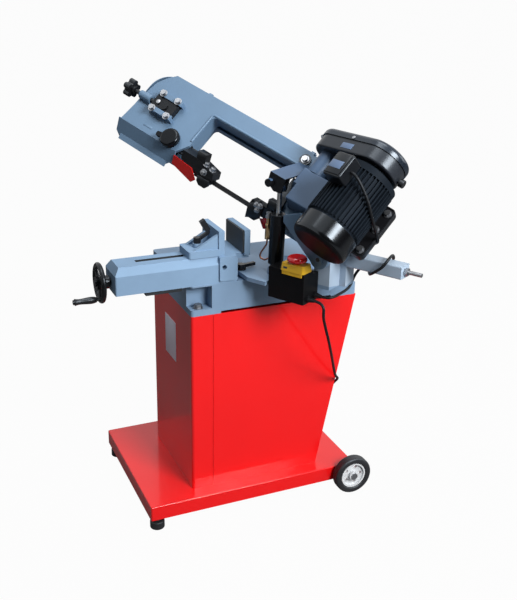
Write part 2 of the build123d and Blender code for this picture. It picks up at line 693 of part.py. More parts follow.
# Pins of the swivel: its pivot bolt, the bow's hinge pin and the lift cylinder's foot pin
with BuildPart() as pivot_pins:
    with BuildSketch(turn(BED_TOP - 24)):
        Circle(PIN_RADIUS)
    extrude(amount=SWIVEL_TOP + 10 - BED_TOP + 24)
    with BuildSketch(turn(SWIVEL_TOP + 10)):
        RegularPolygon(18, 6)
    extrude(amount=11)
    with BuildSketch(cheek(LIFT_F - EAR_INNER - 6)):
        with Locations((FOOT_R, FOOT_Z)):
            Circle(5)
    extrude(amount=2 * EAR_INNER + 12)
    with BuildSketch(cheek(KNUCKLE_BACK)):
        with Locations((HINGE_RADIUS, HINGE_HEIGHT)):
            Circle(PIN_RADIUS)
    extrude(amount=ARM_FRONT + GAP - KNUCKLE_BACK)
    with BuildSketch(cheek(ARM_FRONT + GAP)):
        with Locations((HINGE_RADIUS, HINGE_HEIGHT)):
            Circle(PIN_RADIUS + 3)
    extrude(amount=3)
finish(pivot_pins, "pivot_pins")

# Counter spring in the beam, and its adjusting rod
with BuildPart() as counter_spring:
    with BuildSketch(cross(POST_END + 6)):
        with Locations((-BEAM_F, BEAM_MID)):
            Circle(11)
            Circle(7.5, mode=Mode.SUBTRACT)
    extrude(amount=116)
finish(counter_spring, "counter_spring")

with BuildPart() as spring_adjuster:
    with BuildSketch(cross(POST_END + 123)):
        with Locations((-BEAM_F, BEAM_MID)):
            Circle(11)
    extrude(amount=5)
    with BuildSketch(cross(POST_END + 127)):
        with Locations((-BEAM_F, BEAM_MID)):
            Circle(5)
    extrude(amount=62)
    with BuildSketch(cross(BEAM_END + 1)):
        with Locations((-BEAM_F, BEAM_MID)):
            RegularPolygon(10, 6)
    extrude(amount=8)
finish(spring_adjuster, "spring_adjuster")

# Switch box: sheet case on the swivel's front edge, with its lid
BOX_BOTTOM = 621.0
BOX_TOP = 698.0
BOX_WALL = 2.5
BOX_REAR = 23.0
BOX_STEP = 228.0
LID = 3.0
MAINS_F = 66.0
MAINS_Z = 632.0
LEAD_F = 36.0
LEAD_Z = 634.0
GLAND_LENGTH = 20.0
CORD_RADIUS = 3.5
with BuildPart() as switch_box:
    with BuildSketch(turn(BOX_BOTTOM)):
        with Locations(((BOX_LEFT + BOX_RIGHT) / 2, -(BOX_BACK + BOX_FRONT - LID) / 2)):
            Rectangle(BOX_RIGHT - BOX_LEFT, BOX_FRONT - LID - BOX_BACK)
    extrude(amount=BOX_TOP - BOX_BOTTOM)
    with BuildSketch(turn(BOX_BOTTOM)):
        with Locations(((BOX_STEP + BOX_RIGHT) / 2, -(BOX_REAR + BOX_BACK + 1) / 2)):
            Rectangle(BOX_RIGHT - BOX_STEP, BOX_BACK + 1 - BOX_REAR)
    extrude(amount=BOX_TOP - 8 - BOX_BOTTOM)
    with BuildSketch(cheek(BOX_FRONT - LID)):
        with Locations(((BOX_LEFT + BOX_RIGHT) / 2, (BOX_BOTTOM + BOX_TOP) / 2)):
            Rectangle(BOX_RIGHT - BOX_LEFT - 2 * BOX_WALL, BOX_TOP - BOX_BOTTOM - 2 * BOX_WALL)
    extrude(amount=-(BOX_FRONT - LID - BOX_BACK - BOX_WALL), mode=Mode.SUBTRACT)
    with BuildSketch(cheek(BOX_FRONT - LID + GAP)):
        with Locations(((BOX_LEFT + BOX_RIGHT) / 2, (BOX_BOTTOM + BOX_TOP) / 2)):
            RectangleRounded(BOX_RIGHT - BOX_LEFT, BOX_TOP - BOX_BOTTOM, 2)
    extrude(amount=LID - GAP)
finish(switch_box, "switch_box")

# Glands of the mains cord and of the motor lead, tapered towards the cords
with BuildPart() as cord_glands:
    for gland_f, gland_z in ((MAINS_F, MAINS_Z), (LEAD_F, LEAD_Z)):
        with BuildSketch(cross(BOX_RIGHT)):
            with Locations((-gland_f, gland_z)):
                RegularPolygon(8.5, 6)
        extrude(amount=5)
        with BuildSketch(cross(BOX_RIGHT + 5)):
            with Locations((-gland_f, gland_z)):
                Circle(7)
        with BuildSketch(cross(BOX_RIGHT + GLAND_LENGTH)):
            with Locations((-gland_f, gland_z)):
                Circle(CORD_RADIUS + 0.6)
        loft()
finish(cord_glands, "cord_glands")

# Switch: yellow housing on the box's lid edge, with its red mushroom button
SWITCH_LEFT = 231.0
SWITCH_BACK = 48.0
SWITCH_FRONT = 89.0
SWITCH_TOP = 716.0
BUTTON_R = 267.0
BUTTON_F = 69.0
BUTTON_TRAVEL = 5.0
BUTTON_RADIUS = 24.0
with BuildPart() as switch_body:
    with BuildSketch(turn(BOX_TOP)):
        with Locations(((SWITCH_LEFT + BOX_RIGHT) / 2, -(SWITCH_BACK + SWITCH_FRONT) / 2)):
            RectangleRounded(BOX_RIGHT - SWITCH_LEFT, SWITCH_FRONT - SWITCH_BACK, 7)
    extrude(amount=SWITCH_TOP - BOX_TOP, taper=10)
    with BuildSketch(cheek(BOX_FRONT)):
        with Locations(((SWITCH_LEFT + BOX_RIGHT) / 2, BOX_TOP - 4)):
            Rectangle(BOX_RIGHT - SWITCH_LEFT - 12, 10)
    extrude(amount=SWITCH_FRONT - BOX_FRONT - 1)
    with BuildSketch(turn(SWITCH_TOP + 1)):
        with Locations((BUTTON_R, -BUTTON_F)):
            Circle(9 + GAP)
    extrude(amount=-12, mode=Mode.SUBTRACT)
finish(switch_body, "switch_body")

with BuildPart() as stop_button:
    with BuildSketch(turn(SWITCH_TOP + BUTTON_TRAVEL + 1.5)):
        with Locations((BUTTON_R, -BUTTON_F)):
            Circle(BUTTON_RADIUS)
    extrude(amount=11)
    fillet(stop_button.edges().group_by(Axis.Z)[-1], radius=7)
    fillet(stop_button.edges().group_by(Axis.Z)[0], radius=1.5)
    with BuildSketch(turn(SWITCH_TOP - 3)):
        with Locations((BUTTON_R, -BUTTON_F)):
            Circle(9)
    extrude(amount=BUTTON_TRAVEL + 6)
finish(stop_button, "stop_button")

# Swivel clamp: a bar lever on a stud in the swivel plate, which locks the mitre angle
CLAMP_R = 92.0
CLAMP_F = 56.0
with BuildPart() as swivel_lever:
    with BuildSketch(turn(SWIVEL_TOP + GAP)):
        with Locations((CLAMP_R, -CLAMP_F)):
            Circle(13)
    extrude(amount=3)
    with BuildSketch(turn(SWIVEL_TOP + GAP + 2)):
        with Locations((CLAMP_R, -CLAMP_F)):
            RegularPolygon(11, 6)
    extrude(amount=12)
    with BuildSketch(turn(SWIVEL_TOP + GAP + 4)):
        with BuildLine():
            Line((CLAMP_R, -CLAMP_F), (CLAMP_R + 12, -CLAMP_F + 40))
        trace(line_width=9)
    extrude(amount=8)
finish(swivel_lever, "swivel_lever")

# Lift cylinder: it stands on its foot pin and lets the bow down at a set speed
ROD_PIVOT_R = 182.0
ROD_PIVOT_Z = 876.0
CYLINDER_RADIUS = 19.0
CYLINDER_BORE = 12.0
CYLINDER_LENGTH = 142.0
ROD_RADIUS = 6.0
foot_pin = PIVOT + REACH * FOOT_R + UP * FOOT_Z + FORWARD * LIFT_F
rod_pivot = PIVOT + REACH * ROD_PIVOT_R + UP * ROD_PIVOT_Z + FORWARD * LIFT_F
LIFT_LENGTH = (rod_pivot - foot_pin).length
lift_direction = (rod_pivot - foot_pin).normalized()


def strut(distance):
    """Plane square to the lift cylinder at a distance from its foot pin, drawn in (f, side)."""
    return Plane(origin=foot_pin + lift_direction * distance, x_dir=FORWARD, z_dir=lift_direction)


def strut_side(f):
    """Plane along the lift cylinder, drawn in (along, side), facing forward."""
    return Plane(origin=foot_pin + FORWARD * f, x_dir=lift_direction, z_dir=FORWARD)


with BuildPart() as lift_cylinder:
    with BuildSketch(strut(16)):
        Circle(CYLINDER_RADIUS)
    extrude(amount=CYLINDER_LENGTH - 16)
    fillet(lift_cylinder.edges(), radius=1.5)
    with BuildSketch(strut_side(-10)):
        with Locations((9, 0)):
            Rectangle(18, 18)
        Circle(9)
    extrude(amount=20)
    with BuildSketch(strut(20)):
        Circle(CYLINDER_BORE)
    extrude(amount=CYLINDER_LENGTH - 32, mode=Mode.SUBTRACT)
    with BuildSketch(strut(CYLINDER_LENGTH - 20)):
        Circle(ROD_RADIUS + FIT)
    extrude(amount=30, mode=Mode.SUBTRACT)
    with BuildSketch(strut_side(-15)):
        Circle(5 + FIT)
    extrude(amount=30, mode=Mode.SUBTRACT)
finish(lift_cylinder, "lift_cylinder")

# Lift rod with its piston and the eye that stands loosely round the bow's stud
EYE_HALF = 7.0
EYE_RADIUS = 13.0
STUD_RADIUS = 5.0
EYE_PLAY = 4.0
with BuildPart() as lift_rod:
    with BuildSketch(strut(82)):
        Circle(CYLINDER_BORE - FIT)
    extrude(amount=12)
    with BuildSketch(strut(93)):
        Circle(ROD_RADIUS)
    extrude(amount=LIFT_LENGTH - 93 - STUD_RADIUS - EYE_PLAY)
    with BuildSketch(strut_side(-EYE_HALF)):
        with Locations((LIFT_LENGTH, 0)):
            Circle(EYE_RADIUS)
    extrude(amount=2 * EYE_HALF)
    with BuildSketch(strut_side(-EYE_HALF - 1)):
        with Locations((LIFT_LENGTH, 0)):
            Circle(STUD_RADIUS + EYE_PLAY)
    extrude(amount=2 * EYE_HALF + 2, mode=Mode.SUBTRACT)
finish(lift_rod, "lift_rod")

# Flow valve on the cylinder's flank, with the copper pipe to the cylinder's foot
VALVE_SIDE = 28.5
PIPE_RADIUS = 2.2
with BuildPart() as flow_valve:
    with BuildSketch(strut(76)):
        with Locations((0, -VALVE_SIDE)):
            RegularPolygon(7, 6)
    extrude(amount=22)
    with BuildSketch(strut(98)):
        with Locations((0, -VALVE_SIDE)):
            Circle(5)
    extrude(amount=28)
    with BuildSketch(strut_side(0)):
        with Locations((88, (VALVE_SIDE + CYLINDER_RADIUS) / 2)):
            Rectangle(9, VALVE_SIDE - CYLINDER_RADIUS)
    extrude(amount=4, both=True)
    with BuildLine(strut_side(0)):
        pipe_line = FilletPolyline(
            (77, VALVE_SIDE), (58, VALVE_SIDE + 1), (34, VALVE_SIDE + 16), (18, VALVE_SIDE + 22),
            (16, VALVE_SIDE + 4), (24, CYLINDER_RADIUS + 2), radius=[14, 14, 7, 7],
        )
    with BuildSketch(Plane(origin=pipe_line @ 0, z_dir=pipe_line % 0)):
        Circle(PIPE_RADIUS)
    sweep()
finish(flow_valve, "flow_valve")

with BuildPart() as valve_knob:
    with BuildSketch(strut(126 + GAP)):
        with Locations((0, -VALVE_SIDE)):
            Circle(8)
    extrude(amount=5)
    with BuildSketch(strut(131)):
        with Locations((0, -VALVE_SIDE)):
            Circle(6)
    extrude(amount=9)
finish(valve_knob, "valve_knob")

# Bow casting: face plate and channel walls, with the nose skirt and its lip, and the hinge arm
NOSE_U = 702.0
THROAT_U = 478.0
DRIVE_EDGE = 178.0
THROAT_D = -146.0
TOP_D = -195.0
BOTTOM_D = -13.0
WALL_BACK = -14.0
SKIRT_F = 10.6
SCREW_BOSS = 656.0
CLAMP_U = 530.0
CLAMP_D = -32.0
COVER_HINGE_D = -207.5
COVER_HINGE_N = -12.0
COVER_LUG_LOW = 200.0
COVER_LUG_HIGH = 550.0
COVER_LUG = 10.0
with BuildPart() as bow_casting:
    with BuildSketch(face(FACE - FACE_PLATE)):
        with BuildLine():
            Polyline(
                (649, TOP_D),
                (672, -172),
                (686, -150),
                (692, -120),
                (NOSE_U, BOTTOM_D),
                (501, BOTTOM_D),
                (THROAT_U, -45),
                (THROAT_U, THROAT_D),
                (DRIVE_EDGE, THROAT_D),
                (DRIVE_EDGE, -62),
                (140, -28),
                (104, -20),
                (103, 12),
                (32, 12),
                (32, -28),
                (-20, -45),
                (-20, TOP_D + 2),
                close=True,
            )
        make_face()
        fillet(vertices().sort_by_distance(Vector(THROAT_U, THROAT_D))[0], radius=12)
        fillet(vertices().sort_by_distance(Vector(DRIVE_EDGE, THROAT_D))[0], radius=12)
        with Locations((IDLER_U - 4, WHEEL_D)):
            SlotOverall(44, 30, mode=Mode.SUBTRACT)
        with Locations((DRIVE_U, WHEEL_D)):
            Circle(17, mode=Mode.SUBTRACT)
    extrude(amount=FACE_PLATE)
    with BuildSketch(face(WALL_BACK)):
        with BuildLine():
            FilletPolyline(
                (-20 + WALL / 2, -110),
                (-20 + WALL / 2, TOP_D + 2 + WALL / 2),
                (640, TOP_D + WALL / 2),
                radius=10,
            )
        trace(line_width=WALL)
        with BuildLine():
            FilletPolyline(
                (DRIVE_EDGE - WALL / 2, -66),
                (DRIVE_EDGE - WALL / 2, THROAT_D - WALL / 2),
                (THROAT_U + WALL / 2, THROAT_D - WALL / 2),
                (THROAT_U + WALL / 2, -52),
                radius=12,
            )
        trace(line_width=WALL)
    extrude(amount=FACE - FACE_PLATE - WALL_BACK + 1)
    with BuildSketch(leaf(SKIRT_F - 3)):
        with BuildLine():
            Polyline((501, -29), (709, -29), (709, 8), (690, 25), (530, 25), (498, -2), close=True)
        make_face()
    extrude(amount=3)
    with BuildSketch(slice_along(522)):
        with BuildLine():
            Polyline((14.6, 0.4), (29, -6.4), (26.9, -8.5), (12.4, -1.7), close=True)
        make_face()
    extrude(amount=170)
    with BuildSketch(leaf(ARM_BACK)):
        with BuildLine():
            Polyline(
                (125, -52),
                (120, -36),
                (14, LUG_RADIUS - 6),
                (-LUG_RADIUS + 1, 0),
                (-LUG_RADIUS + 4, -12),
                (10, -22),
                (32, -42),
                (52, -70),
                (85, -78),
                close=True,
            )
        make_face()
        Circle(LUG_RADIUS)
    extrude(amount=ARM_FRONT - ARM_BACK)
    with BuildSketch(leaf(-100)):
        Circle(PIN_RADIUS + FIT)
    extrude(amount=200, mode=Mode.SUBTRACT)
    with BuildSketch(slice_along(SCREW_BOSS)):
        with Locations((WHEEL_D, FACE + 10)):
            Circle(11)
        with Locations((WHEEL_D, FACE + 4)):
            Rectangle(22, 10)
    extrude(amount=38)
    with BuildSketch(slice_along(SCREW_BOSS - 5)):
        with Locations((WHEEL_D, FACE + 10)):
            Circle(6 + FIT)
    extrude(amount=60, mode=Mode.SUBTRACT)
    with BuildSketch(face(FACE - FACE_PLATE + 0.5)):
        with Locations((WORM_U, TOP_D)):
            Rectangle(120, 12)
    extrude(amount=20, mode=Mode.SUBTRACT)
    with BuildSketch(face(FACE + 1)):
        with Locations((CLAMP_U, CLAMP_D)):
            Circle(STUD_RADIUS + GAP)
    extrude(amount=-20, mode=Mode.SUBTRACT)
    with BuildSketch(slice_along(COVER_LUG_LOW), slice_along(COVER_LUG_HIGH)):
        with Locations((COVER_HINGE_D, COVER_HINGE_N)):
            Circle(6)
        with BuildLine():
            Polyline(
                (COVER_HINGE_D, COVER_HINGE_N - 6),
                (COVER_HINGE_D, COVER_HINGE_N + 6),
                (TOP_D + 2, 16),
                (TOP_D + 2, COVER_HINGE_N - 2),
                close=True,
            )
        make_face()
    extrude(amount=COVER_LUG)
    with BuildSketch(slice_along(0)):
        with Locations((COVER_HINGE_D, COVER_HINGE_N)):
            Circle(3 + FIT)
    extrude(amount=NOSE_U, mode=Mode.SUBTRACT)
finish(bow_casting, "bow_casting")

# Band wheels: a rim, a web with round windows and a hub
WHEEL_HUB = 26.0
AXLE_R = 12.0
for band_name, band_u, bore in (("idler_wheel", IDLER_U, AXLE_R + FIT), ("drive_wheel", DRIVE_U, AXLE_R)):
    with BuildPart() as band_wheel:
        with BuildSketch(face(-BAND_WHEEL_HALF)):
            with Locations((band_u, WHEEL_D)):
                Circle(BAND_RADIUS - 0.05)
                Circle(BAND_RADIUS - 9, mode=Mode.SUBTRACT)
        extrude(amount=2 * BAND_WHEEL_HALF)
        with BuildSketch(face(-4)):
            with Locations((band_u, WHEEL_D)):
                Circle(BAND_RADIUS - 8)
                with PolarLocations(54, 6):
                    Circle(17, mode=Mode.SUBTRACT)
        extrude(amount=8)
        with BuildSketch(face(-BAND_WHEEL_HALF)):
            with Locations((band_u, WHEEL_D)):
                Circle(WHEEL_HUB)
        extrude(amount=2 * BAND_WHEEL_HALF)
        with BuildSketch(face(-BAND_WHEEL_HALF - 1)):
            with Locations((band_u, WHEEL_D)):
                Circle(bore)
        extrude(amount=2 * BAND_WHEEL_HALF + 2, mode=Mode.SUBTRACT)
    finish(band_wheel, band_name)

# Tension slide: a block on the face with the idler's axle, held by two keeper bars
SLIDE_D = -100.0
SLIDE_HALF = 20.0
SLIDE_LEFT = 572.0
SLIDE_RIGHT = 646.0
SLIDE_TOP = 44.0
with BuildPart() as slide_block:
    with BuildSketch(face(FACE + GAP)):
        with Locations(((SLIDE_LEFT + SLIDE_RIGHT) / 2, SLIDE_D)):
            RectangleRounded(SLIDE_RIGHT - SLIDE_LEFT, 2 * SLIDE_HALF, 3)
    extrude(amount=SLIDE_TOP - FACE - GAP)
    with BuildSketch(face(-BAND_WHEEL_HALF - 5)):
        with Locations((IDLER_U, WHEEL_D)):
            Circle(AXLE_R)
    extrude(amount=SLIDE_TOP + 4 + BAND_WHEEL_HALF + 5)
    with BuildSketch(face(BAND_WHEEL_HALF + 1)):
        with Locations((IDLER_U, WHEEL_D)):
            Circle(AXLE_R + 2)
    extrude(amount=6)
    with BuildSketch(face(-BAND_WHEEL_HALF - 5)):
        with Locations((IDLER_U, WHEEL_D)):
            Circle(AXLE_R + 4)
    extrude(amount=4)
finish(slide_block, "slide_block")

KEEPER_WIDTH = 10.0
KEEPER_LENGTH = 80.0
KEEPER_BOLTS = 52.0
keeper_low = SLIDE_D + SLIDE_HALF + GAP + KEEPER_WIDTH / 2
keeper_high = SLIDE_D - SLIDE_HALF - GAP - KEEPER_WIDTH / 2
keeper_mid = (SLIDE_LEFT + SLIDE_RIGHT) / 2 - 4
keeper_places = [
    (keeper_mid + step * KEEPER_BOLTS / 2, d) for step in (-1, 1) for d in (keeper_low, keeper_high)
]
with BuildPart() as slide_keepers:
    with BuildSketch(face(FACE)):
        with Locations((keeper_mid, keeper_low), (keeper_mid, keeper_high)):
            Rectangle(KEEPER_LENGTH, KEEPER_WIDTH)
    extrude(amount=SLIDE_TOP + GAP - FACE)
    with BuildSketch(face(SLIDE_TOP + GAP)):
        with Locations((keeper_mid, keeper_low - 1.5), (keeper_mid, keeper_high + 1.5)):
            Rectangle(KEEPER_LENGTH, KEEPER_WIDTH + 3)
    extrude(amount=4)
    with BuildSketch(face(SLIDE_TOP + 10)):
        with Locations(*keeper_places):
            Circle(3.8)
    extrude(amount=-40, mode=Mode.SUBTRACT)
finish(slide_keepers, "slide_keepers")

# Tension screw with its star knob
KNOB_U = 722.0
with BuildPart() as tension_knob:
    with BuildSketch(slice_along(SLIDE_RIGHT + GAP)):
        with Locations((WHEEL_D, FACE + 10)):
            Circle(6)
    extrude(amount=KNOB_U - SLIDE_RIGHT + 4)
    with BuildSketch(slice_along(KNOB_U - 8)):
        with Locations((WHEEL_D, FACE + 10)):
            Circle(11)
    extrude(amount=9)
    with BuildSketch(slice_along(KNOB_U)):
        with Locations((WHEEL_D, FACE + 10)):
            Circle(17)
            with PolarLocations(17, 5):
                Circle(8)
    extrude(amount=20)
    fillet(tension_knob.edges().group_by(Axis(HINGE, ALONG))[-1], radius=2)
finish(tension_knob, "tension_knob")

# Blade: a welded band round both wheels, turned upright between the guides
BLADE_RADIUS = BAND_RADIUS + BLADE_THICK / 2
BLADE_D = WHEEL_D + BLADE_RADIUS
LEAVE_WHEEL = 22.0
TURN_LEFT = 440.0
TURN_RIGHT = 180.0
TWIST_STEPS = 3


def blade_section(u, angle):
    """Plane across the blade's cutting run at place u, leaned by an angle."""
    return Plane(
        origin=HINGE + ALONG * u + SLOPE * BLADE_D,
        x_dir=SLOPE * cos(radians(angle)) + OUT * sin(radians(angle)),
        z_dir=ALONG,
    )


twist_planes = [blade_section(DRIVE_U, 0)]
for step in range(TWIST_STEPS + 1):
    share = step / TWIST_STEPS
    start = DRIVE_U + LEAVE_WHEEL
    twist_planes.append(blade_section(start + share * (TURN_RIGHT - start), share * BLADE_TURN))
for step in range(TWIST_STEPS + 1):
    share = step / TWIST_STEPS
    end = IDLER_U - LEAVE_WHEEL
    twist_planes.append(blade_section(TURN_LEFT + share * (end - TURN_LEFT), (1 - share) * BLADE_TURN))
twist_planes.append(blade_section(IDLER_U, 0))
with BuildPart() as blade:
    with BuildSketch(face(-BLADE_WIDTH / 2)):
        with BuildLine():
            CenterArc((IDLER_U, WHEEL_D), BLADE_RADIUS, 90, -180)
            Line((IDLER_U, WHEEL_D - BLADE_RADIUS), (DRIVE_U, WHEEL_D - BLADE_RADIUS))
            CenterArc((DRIVE_U, WHEEL_D), BLADE_RADIUS, -90, -180)
        trace(line_width=BLADE_THICK)
    extrude(amount=BLADE_WIDTH)
    for twist_plane in twist_planes:
        with BuildSketch(twist_plane):
            Rectangle(BLADE_THICK, BLADE_WIDTH)
    loft(ruled=True)
finish(blade, "blade")

# Worm wheel on the drive wheel's shaft
GEAR_RADIUS = 26.0
GEAR_LOW = 58.0
GEAR_HIGH = 74.0
with BuildPart() as worm_wheel:
    with BuildSketch(face(-BAND_WHEEL_HALF - 4)):
        with Locations((DRIVE_U, WHEEL_D)):
            Circle(AXLE_R)
    extrude(amount=82 + BAND_WHEEL_HALF + 4)
    with BuildSketch(face(GEAR_LOW)):
        with Locations((DRIVE_U, WHEEL_D)):
            Circle(GEAR_RADIUS)
            with PolarLocations(GEAR_RADIUS, 24):
                Rectangle(3.4, 3)
    extrude(amount=GEAR_HIGH - GEAR_LOW)
    with BuildSketch(face(-BAND_WHEEL_HALF - 4)):
        with Locations((DRIVE_U, WHEEL_D)):
            Circle(AXLE_R + 5)
    extrude(amount=4)
finish(worm_wheel, "worm_wheel")

# Worm shaft with the driven pulley, and motor rotor with the driving pulley
PAN_BOTTOM = -190.0
SEAM = -225.0
LID_TOP = -246.0
PULLEY_START = -214.0
PULLEY_WIDTH = 20.0
DRIVEN_RADIUS = 36.0
DRIVING_RADIUS = 30.0
WORM_RADIUS = 12.8
SHAFT_RADIUS = 8.0
with BuildPart() as worm_shaft:
    with BuildSketch(shaft(-56)):
        with Locations((WORM_U, WORM_N)):
            Circle(SHAFT_RADIUS)
    extrude(amount=-(PULLEY_START - PULLEY_WIDTH - 2) - 56)
    with BuildSketch(shaft(-74)):
        with Locations((WORM_U, WORM_N)):
            Circle(WORM_RADIUS)
    extrude(amount=44)
    with BuildSketch(shaft(PULLEY_START)):
        with Locations((WORM_U, WORM_N)):
            Circle(DRIVEN_RADIUS)
    extrude(amount=PULLEY_WIDTH)
finish(worm_shaft, "worm_shaft")

with BuildPart() as motor_rotor:
    with BuildSketch(shaft(6)):
        with Locations((MOTOR_U, MOTOR_N)):
            Circle(SHAFT_RADIUS)
    extrude(amount=-(PULLEY_START - PULLEY_WIDTH - 2) + 6)
    with BuildSketch(shaft(-40)):
        with Locations((MOTOR_U, MOTOR_N)):
            Circle(40)
    extrude(amount=96)
    with BuildSketch(shaft(14)):
        with Locations((MOTOR_U, MOTOR_N)):
            Circle(14)
            with PolarLocations(34, 7):
                Rectangle(48, 4)
    extrude(amount=8)
    with BuildSketch(shaft(PULLEY_START)):
        with Locations((MOTOR_U, MOTOR_N)):
            Circle(DRIVING_RADIUS)
    extrude(amount=PULLEY_WIDTH)
finish(motor_rotor, "motor_rotor")

BELT_THICK = 6.0
BELT_WIDTH = 12.0
with BuildPart() as drive_belt:
    with BuildSketch(shaft(PULLEY_START - (PULLEY_WIDTH - BELT_WIDTH) / 2)):
        with Locations((WORM_U, WORM_N)):
            Circle(DRIVEN_RADIUS + GAP + BELT_THICK)
        with Locations((MOTOR_U, MOTOR_N)):
            Circle(DRIVING_RADIUS + GAP + BELT_THICK)
        make_hull()
    extrude(amount=BELT_WIDTH)
    with BuildSketch(shaft(PULLEY_START - (PULLEY_WIDTH - BELT_WIDTH) / 2 + 1)):
        with Locations((WORM_U, WORM_N)):
            Circle(DRIVEN_RADIUS + GAP)
        with Locations((MOTOR_U, MOTOR_N)):
            Circle(DRIVING_RADIUS + GAP)
        make_hull()
    extrude(amount=BELT_WIDTH + 2, mode=Mode.SUBTRACT)
finish(drive_belt, "drive_belt")

# Gearbox housing on the bow's face, with the neck round the worm shaft and a cut for the lift cylinder
NECK_RADIUS = 26.0
GEARBOX_TOP = 92.0
with BuildPart() as gearbox_housing:
    with BuildSketch(shaft(-40)):
        with BuildLine():
            Polyline((36, FACE), (36, 56), (58, GEARBOX_TOP), (149, GEARBOX_TOP), (149, FACE), close=True)
        make_face()
    extrude(amount=90)
    fillet(gearbox_housing.edges().filter_by(lambda edge: edge.length > 55), radius=4)
    with BuildSketch(shaft(-128)):
        with Locations((WORM_U, WORM_N)):
            Circle(NECK_RADIUS)
    extrude(amount=-PAN_BOTTOM - 128)
    with BuildSketch(shaft(-47)):
        with BuildLine():
            Polyline((41, FACE - 1), (41, 57), (60, 86), (134.5, 86), (134.5, FACE - 1), close=True)
        make_face()
    extrude(amount=77, mode=Mode.SUBTRACT)
    with BuildSketch(shaft(-120)):
        with Locations((WORM_U, WORM_N)):
            Circle(SHAFT_RADIUS + 4)
    extrude(amount=80, mode=Mode.SUBTRACT)
    with BuildSketch(slice_along(138)):
        with BuildLine():
            Polyline((-39, 30), (-39, GEARBOX_TOP + 1), (-85, GEARBOX_TOP + 1), close=True)
        make_face()
    extrude(amount=20, mode=Mode.SUBTRACT)
finish(gearbox_housing, "gearbox_housing")

# Motor: ribbed barrel with feet, a flange to the belt case and a pad for the terminal box
BARREL_RADIUS = 64.0
MOTOR_END = -24.0
MOTOR_HEAD = -178.0
TERMINAL_ANGLE = 68.0
TERMINAL_D = -130.0
TERMINAL_HALF = 27.0
FIN_COUNT = 44
terminal_out = ALONG * cos(radians(TERMINAL_ANGLE)) + OUT * sin(radians(TERMINAL_ANGLE))
motor_axis = HINGE + ALONG * MOTOR_U + OUT * MOTOR_N


def terminal(distance):
    """Plane on the motor's flank at a distance from its shaft, drawn in (d, across)."""
    return Plane(origin=motor_axis + terminal_out * distance, x_dir=SLOPE, z_dir=terminal_out)


with BuildPart() as motor_body:
    with BuildSketch(shaft(MOTOR_END)):
        with Locations((MOTOR_U, MOTOR_N)):
            Circle(BARREL_RADIUS)
    extrude(amount=MOTOR_END - MOTOR_HEAD)
    with BuildSketch(shaft(MOTOR_END - 8)):
        with Locations((MOTOR_U, MOTOR_N)):
            with PolarLocations((BARREL_RADIUS + MOTOR_RADIUS) / 2 - 1, FIN_COUNT):
                Rectangle(MOTOR_RADIUS - BARREL_RADIUS + 2, 3)
    extrude(amount=MOTOR_END - 8 + 160)
    with BuildSketch(shaft(-160)):
        with Locations((MOTOR_U, MOTOR_N)):
            Circle(MOTOR_RADIUS - 1)
    extrude(amount=14)
    with BuildSketch(shaft(MOTOR_HEAD + 1)):
        with Locations((MOTOR_U, MOTOR_N)):
            Circle(44)
    extrude(amount=MOTOR_HEAD + 1 - PAN_BOTTOM)
    with BuildSketch(shaft(-36), shaft(-118)):
        with Locations((MOTOR_U, (46 + MOTOR_N - 50) / 2)):
            Rectangle(92, MOTOR_N - 50 - 46)
    extrude(amount=24)
    with BuildSketch(terminal(BARREL_RADIUS - 6)):
        with Locations((TERMINAL_D, 0)):
            Rectangle(52, 44)
    extrude(amount=MOTOR_RADIUS + 1 - BARREL_RADIUS + 6)
    with BuildSketch(shaft(MOTOR_END + 1)):
        with Locations((MOTOR_U, MOTOR_N)):
            Circle(50)
    extrude(amount=MOTOR_END - MOTOR_HEAD - 10, mode=Mode.SUBTRACT)
    with BuildSketch(shaft(MOTOR_HEAD + 12)):
        with Locations((MOTOR_U, MOTOR_N)):
            Circle(SHAFT_RADIUS + 2)
    extrude(amount=40, mode=Mode.SUBTRACT)
finish(motor_body, "motor_body")

# Fan cover: a deep cap over the motor's lower end
COWL_END = 30.0
with BuildPart() as fan_cover:
    with BuildSketch(shaft(COWL_END)):
        with Locations((MOTOR_U, MOTOR_N)):
            Circle(MOTOR_RADIUS - 0.5)
    extrude(amount=COWL_END - MOTOR_END)
    fillet(fan_cover.edges().sort_by(Axis(HINGE, SLOPE))[-1], radius=16)
    offset(amount=-2, openings=fan_cover.faces().sort_by(Axis(HINGE, SLOPE))[0])
finish(fan_cover, "fan_cover")

# Terminal box on the motor's flank
with BuildPart() as terminal_box:
    with BuildSketch(terminal(MOTOR_RADIUS + 1)):
        with Locations((TERMINAL_D, 0)):
            RectangleRounded(64, 2 * TERMINAL_HALF, 6)
    extrude(amount=32)
    fillet(terminal_box.faces().sort_by(Axis(HINGE, terminal_out))[-1].edges(), radius=4)
finish(terminal_box, "terminal_box")

# Motor plate on spacers on the bow's face
PLATE_LOW = 38.0
PLATE_HIGH = 46.0
plate_places = [(-74, -148), (-74, -100), (-74, -40)]
with BuildPart() as motor_plate:
    with BuildSketch(face(PLATE_LOW)):
        with Locations((-27, -93.5)):
            RectangleRounded(118, 135, 8)
        with Locations(*plate_places):
            Circle(3.8, mode=Mode.SUBTRACT)
    extrude(amount=PLATE_HIGH - PLATE_LOW)
    with BuildSketch(face(FACE)):
        with Locations((2, -60), (2, -140)):
            Circle(11)
    extrude(amount=PLATE_LOW - FACE)
finish(motor_plate, "motor_plate")

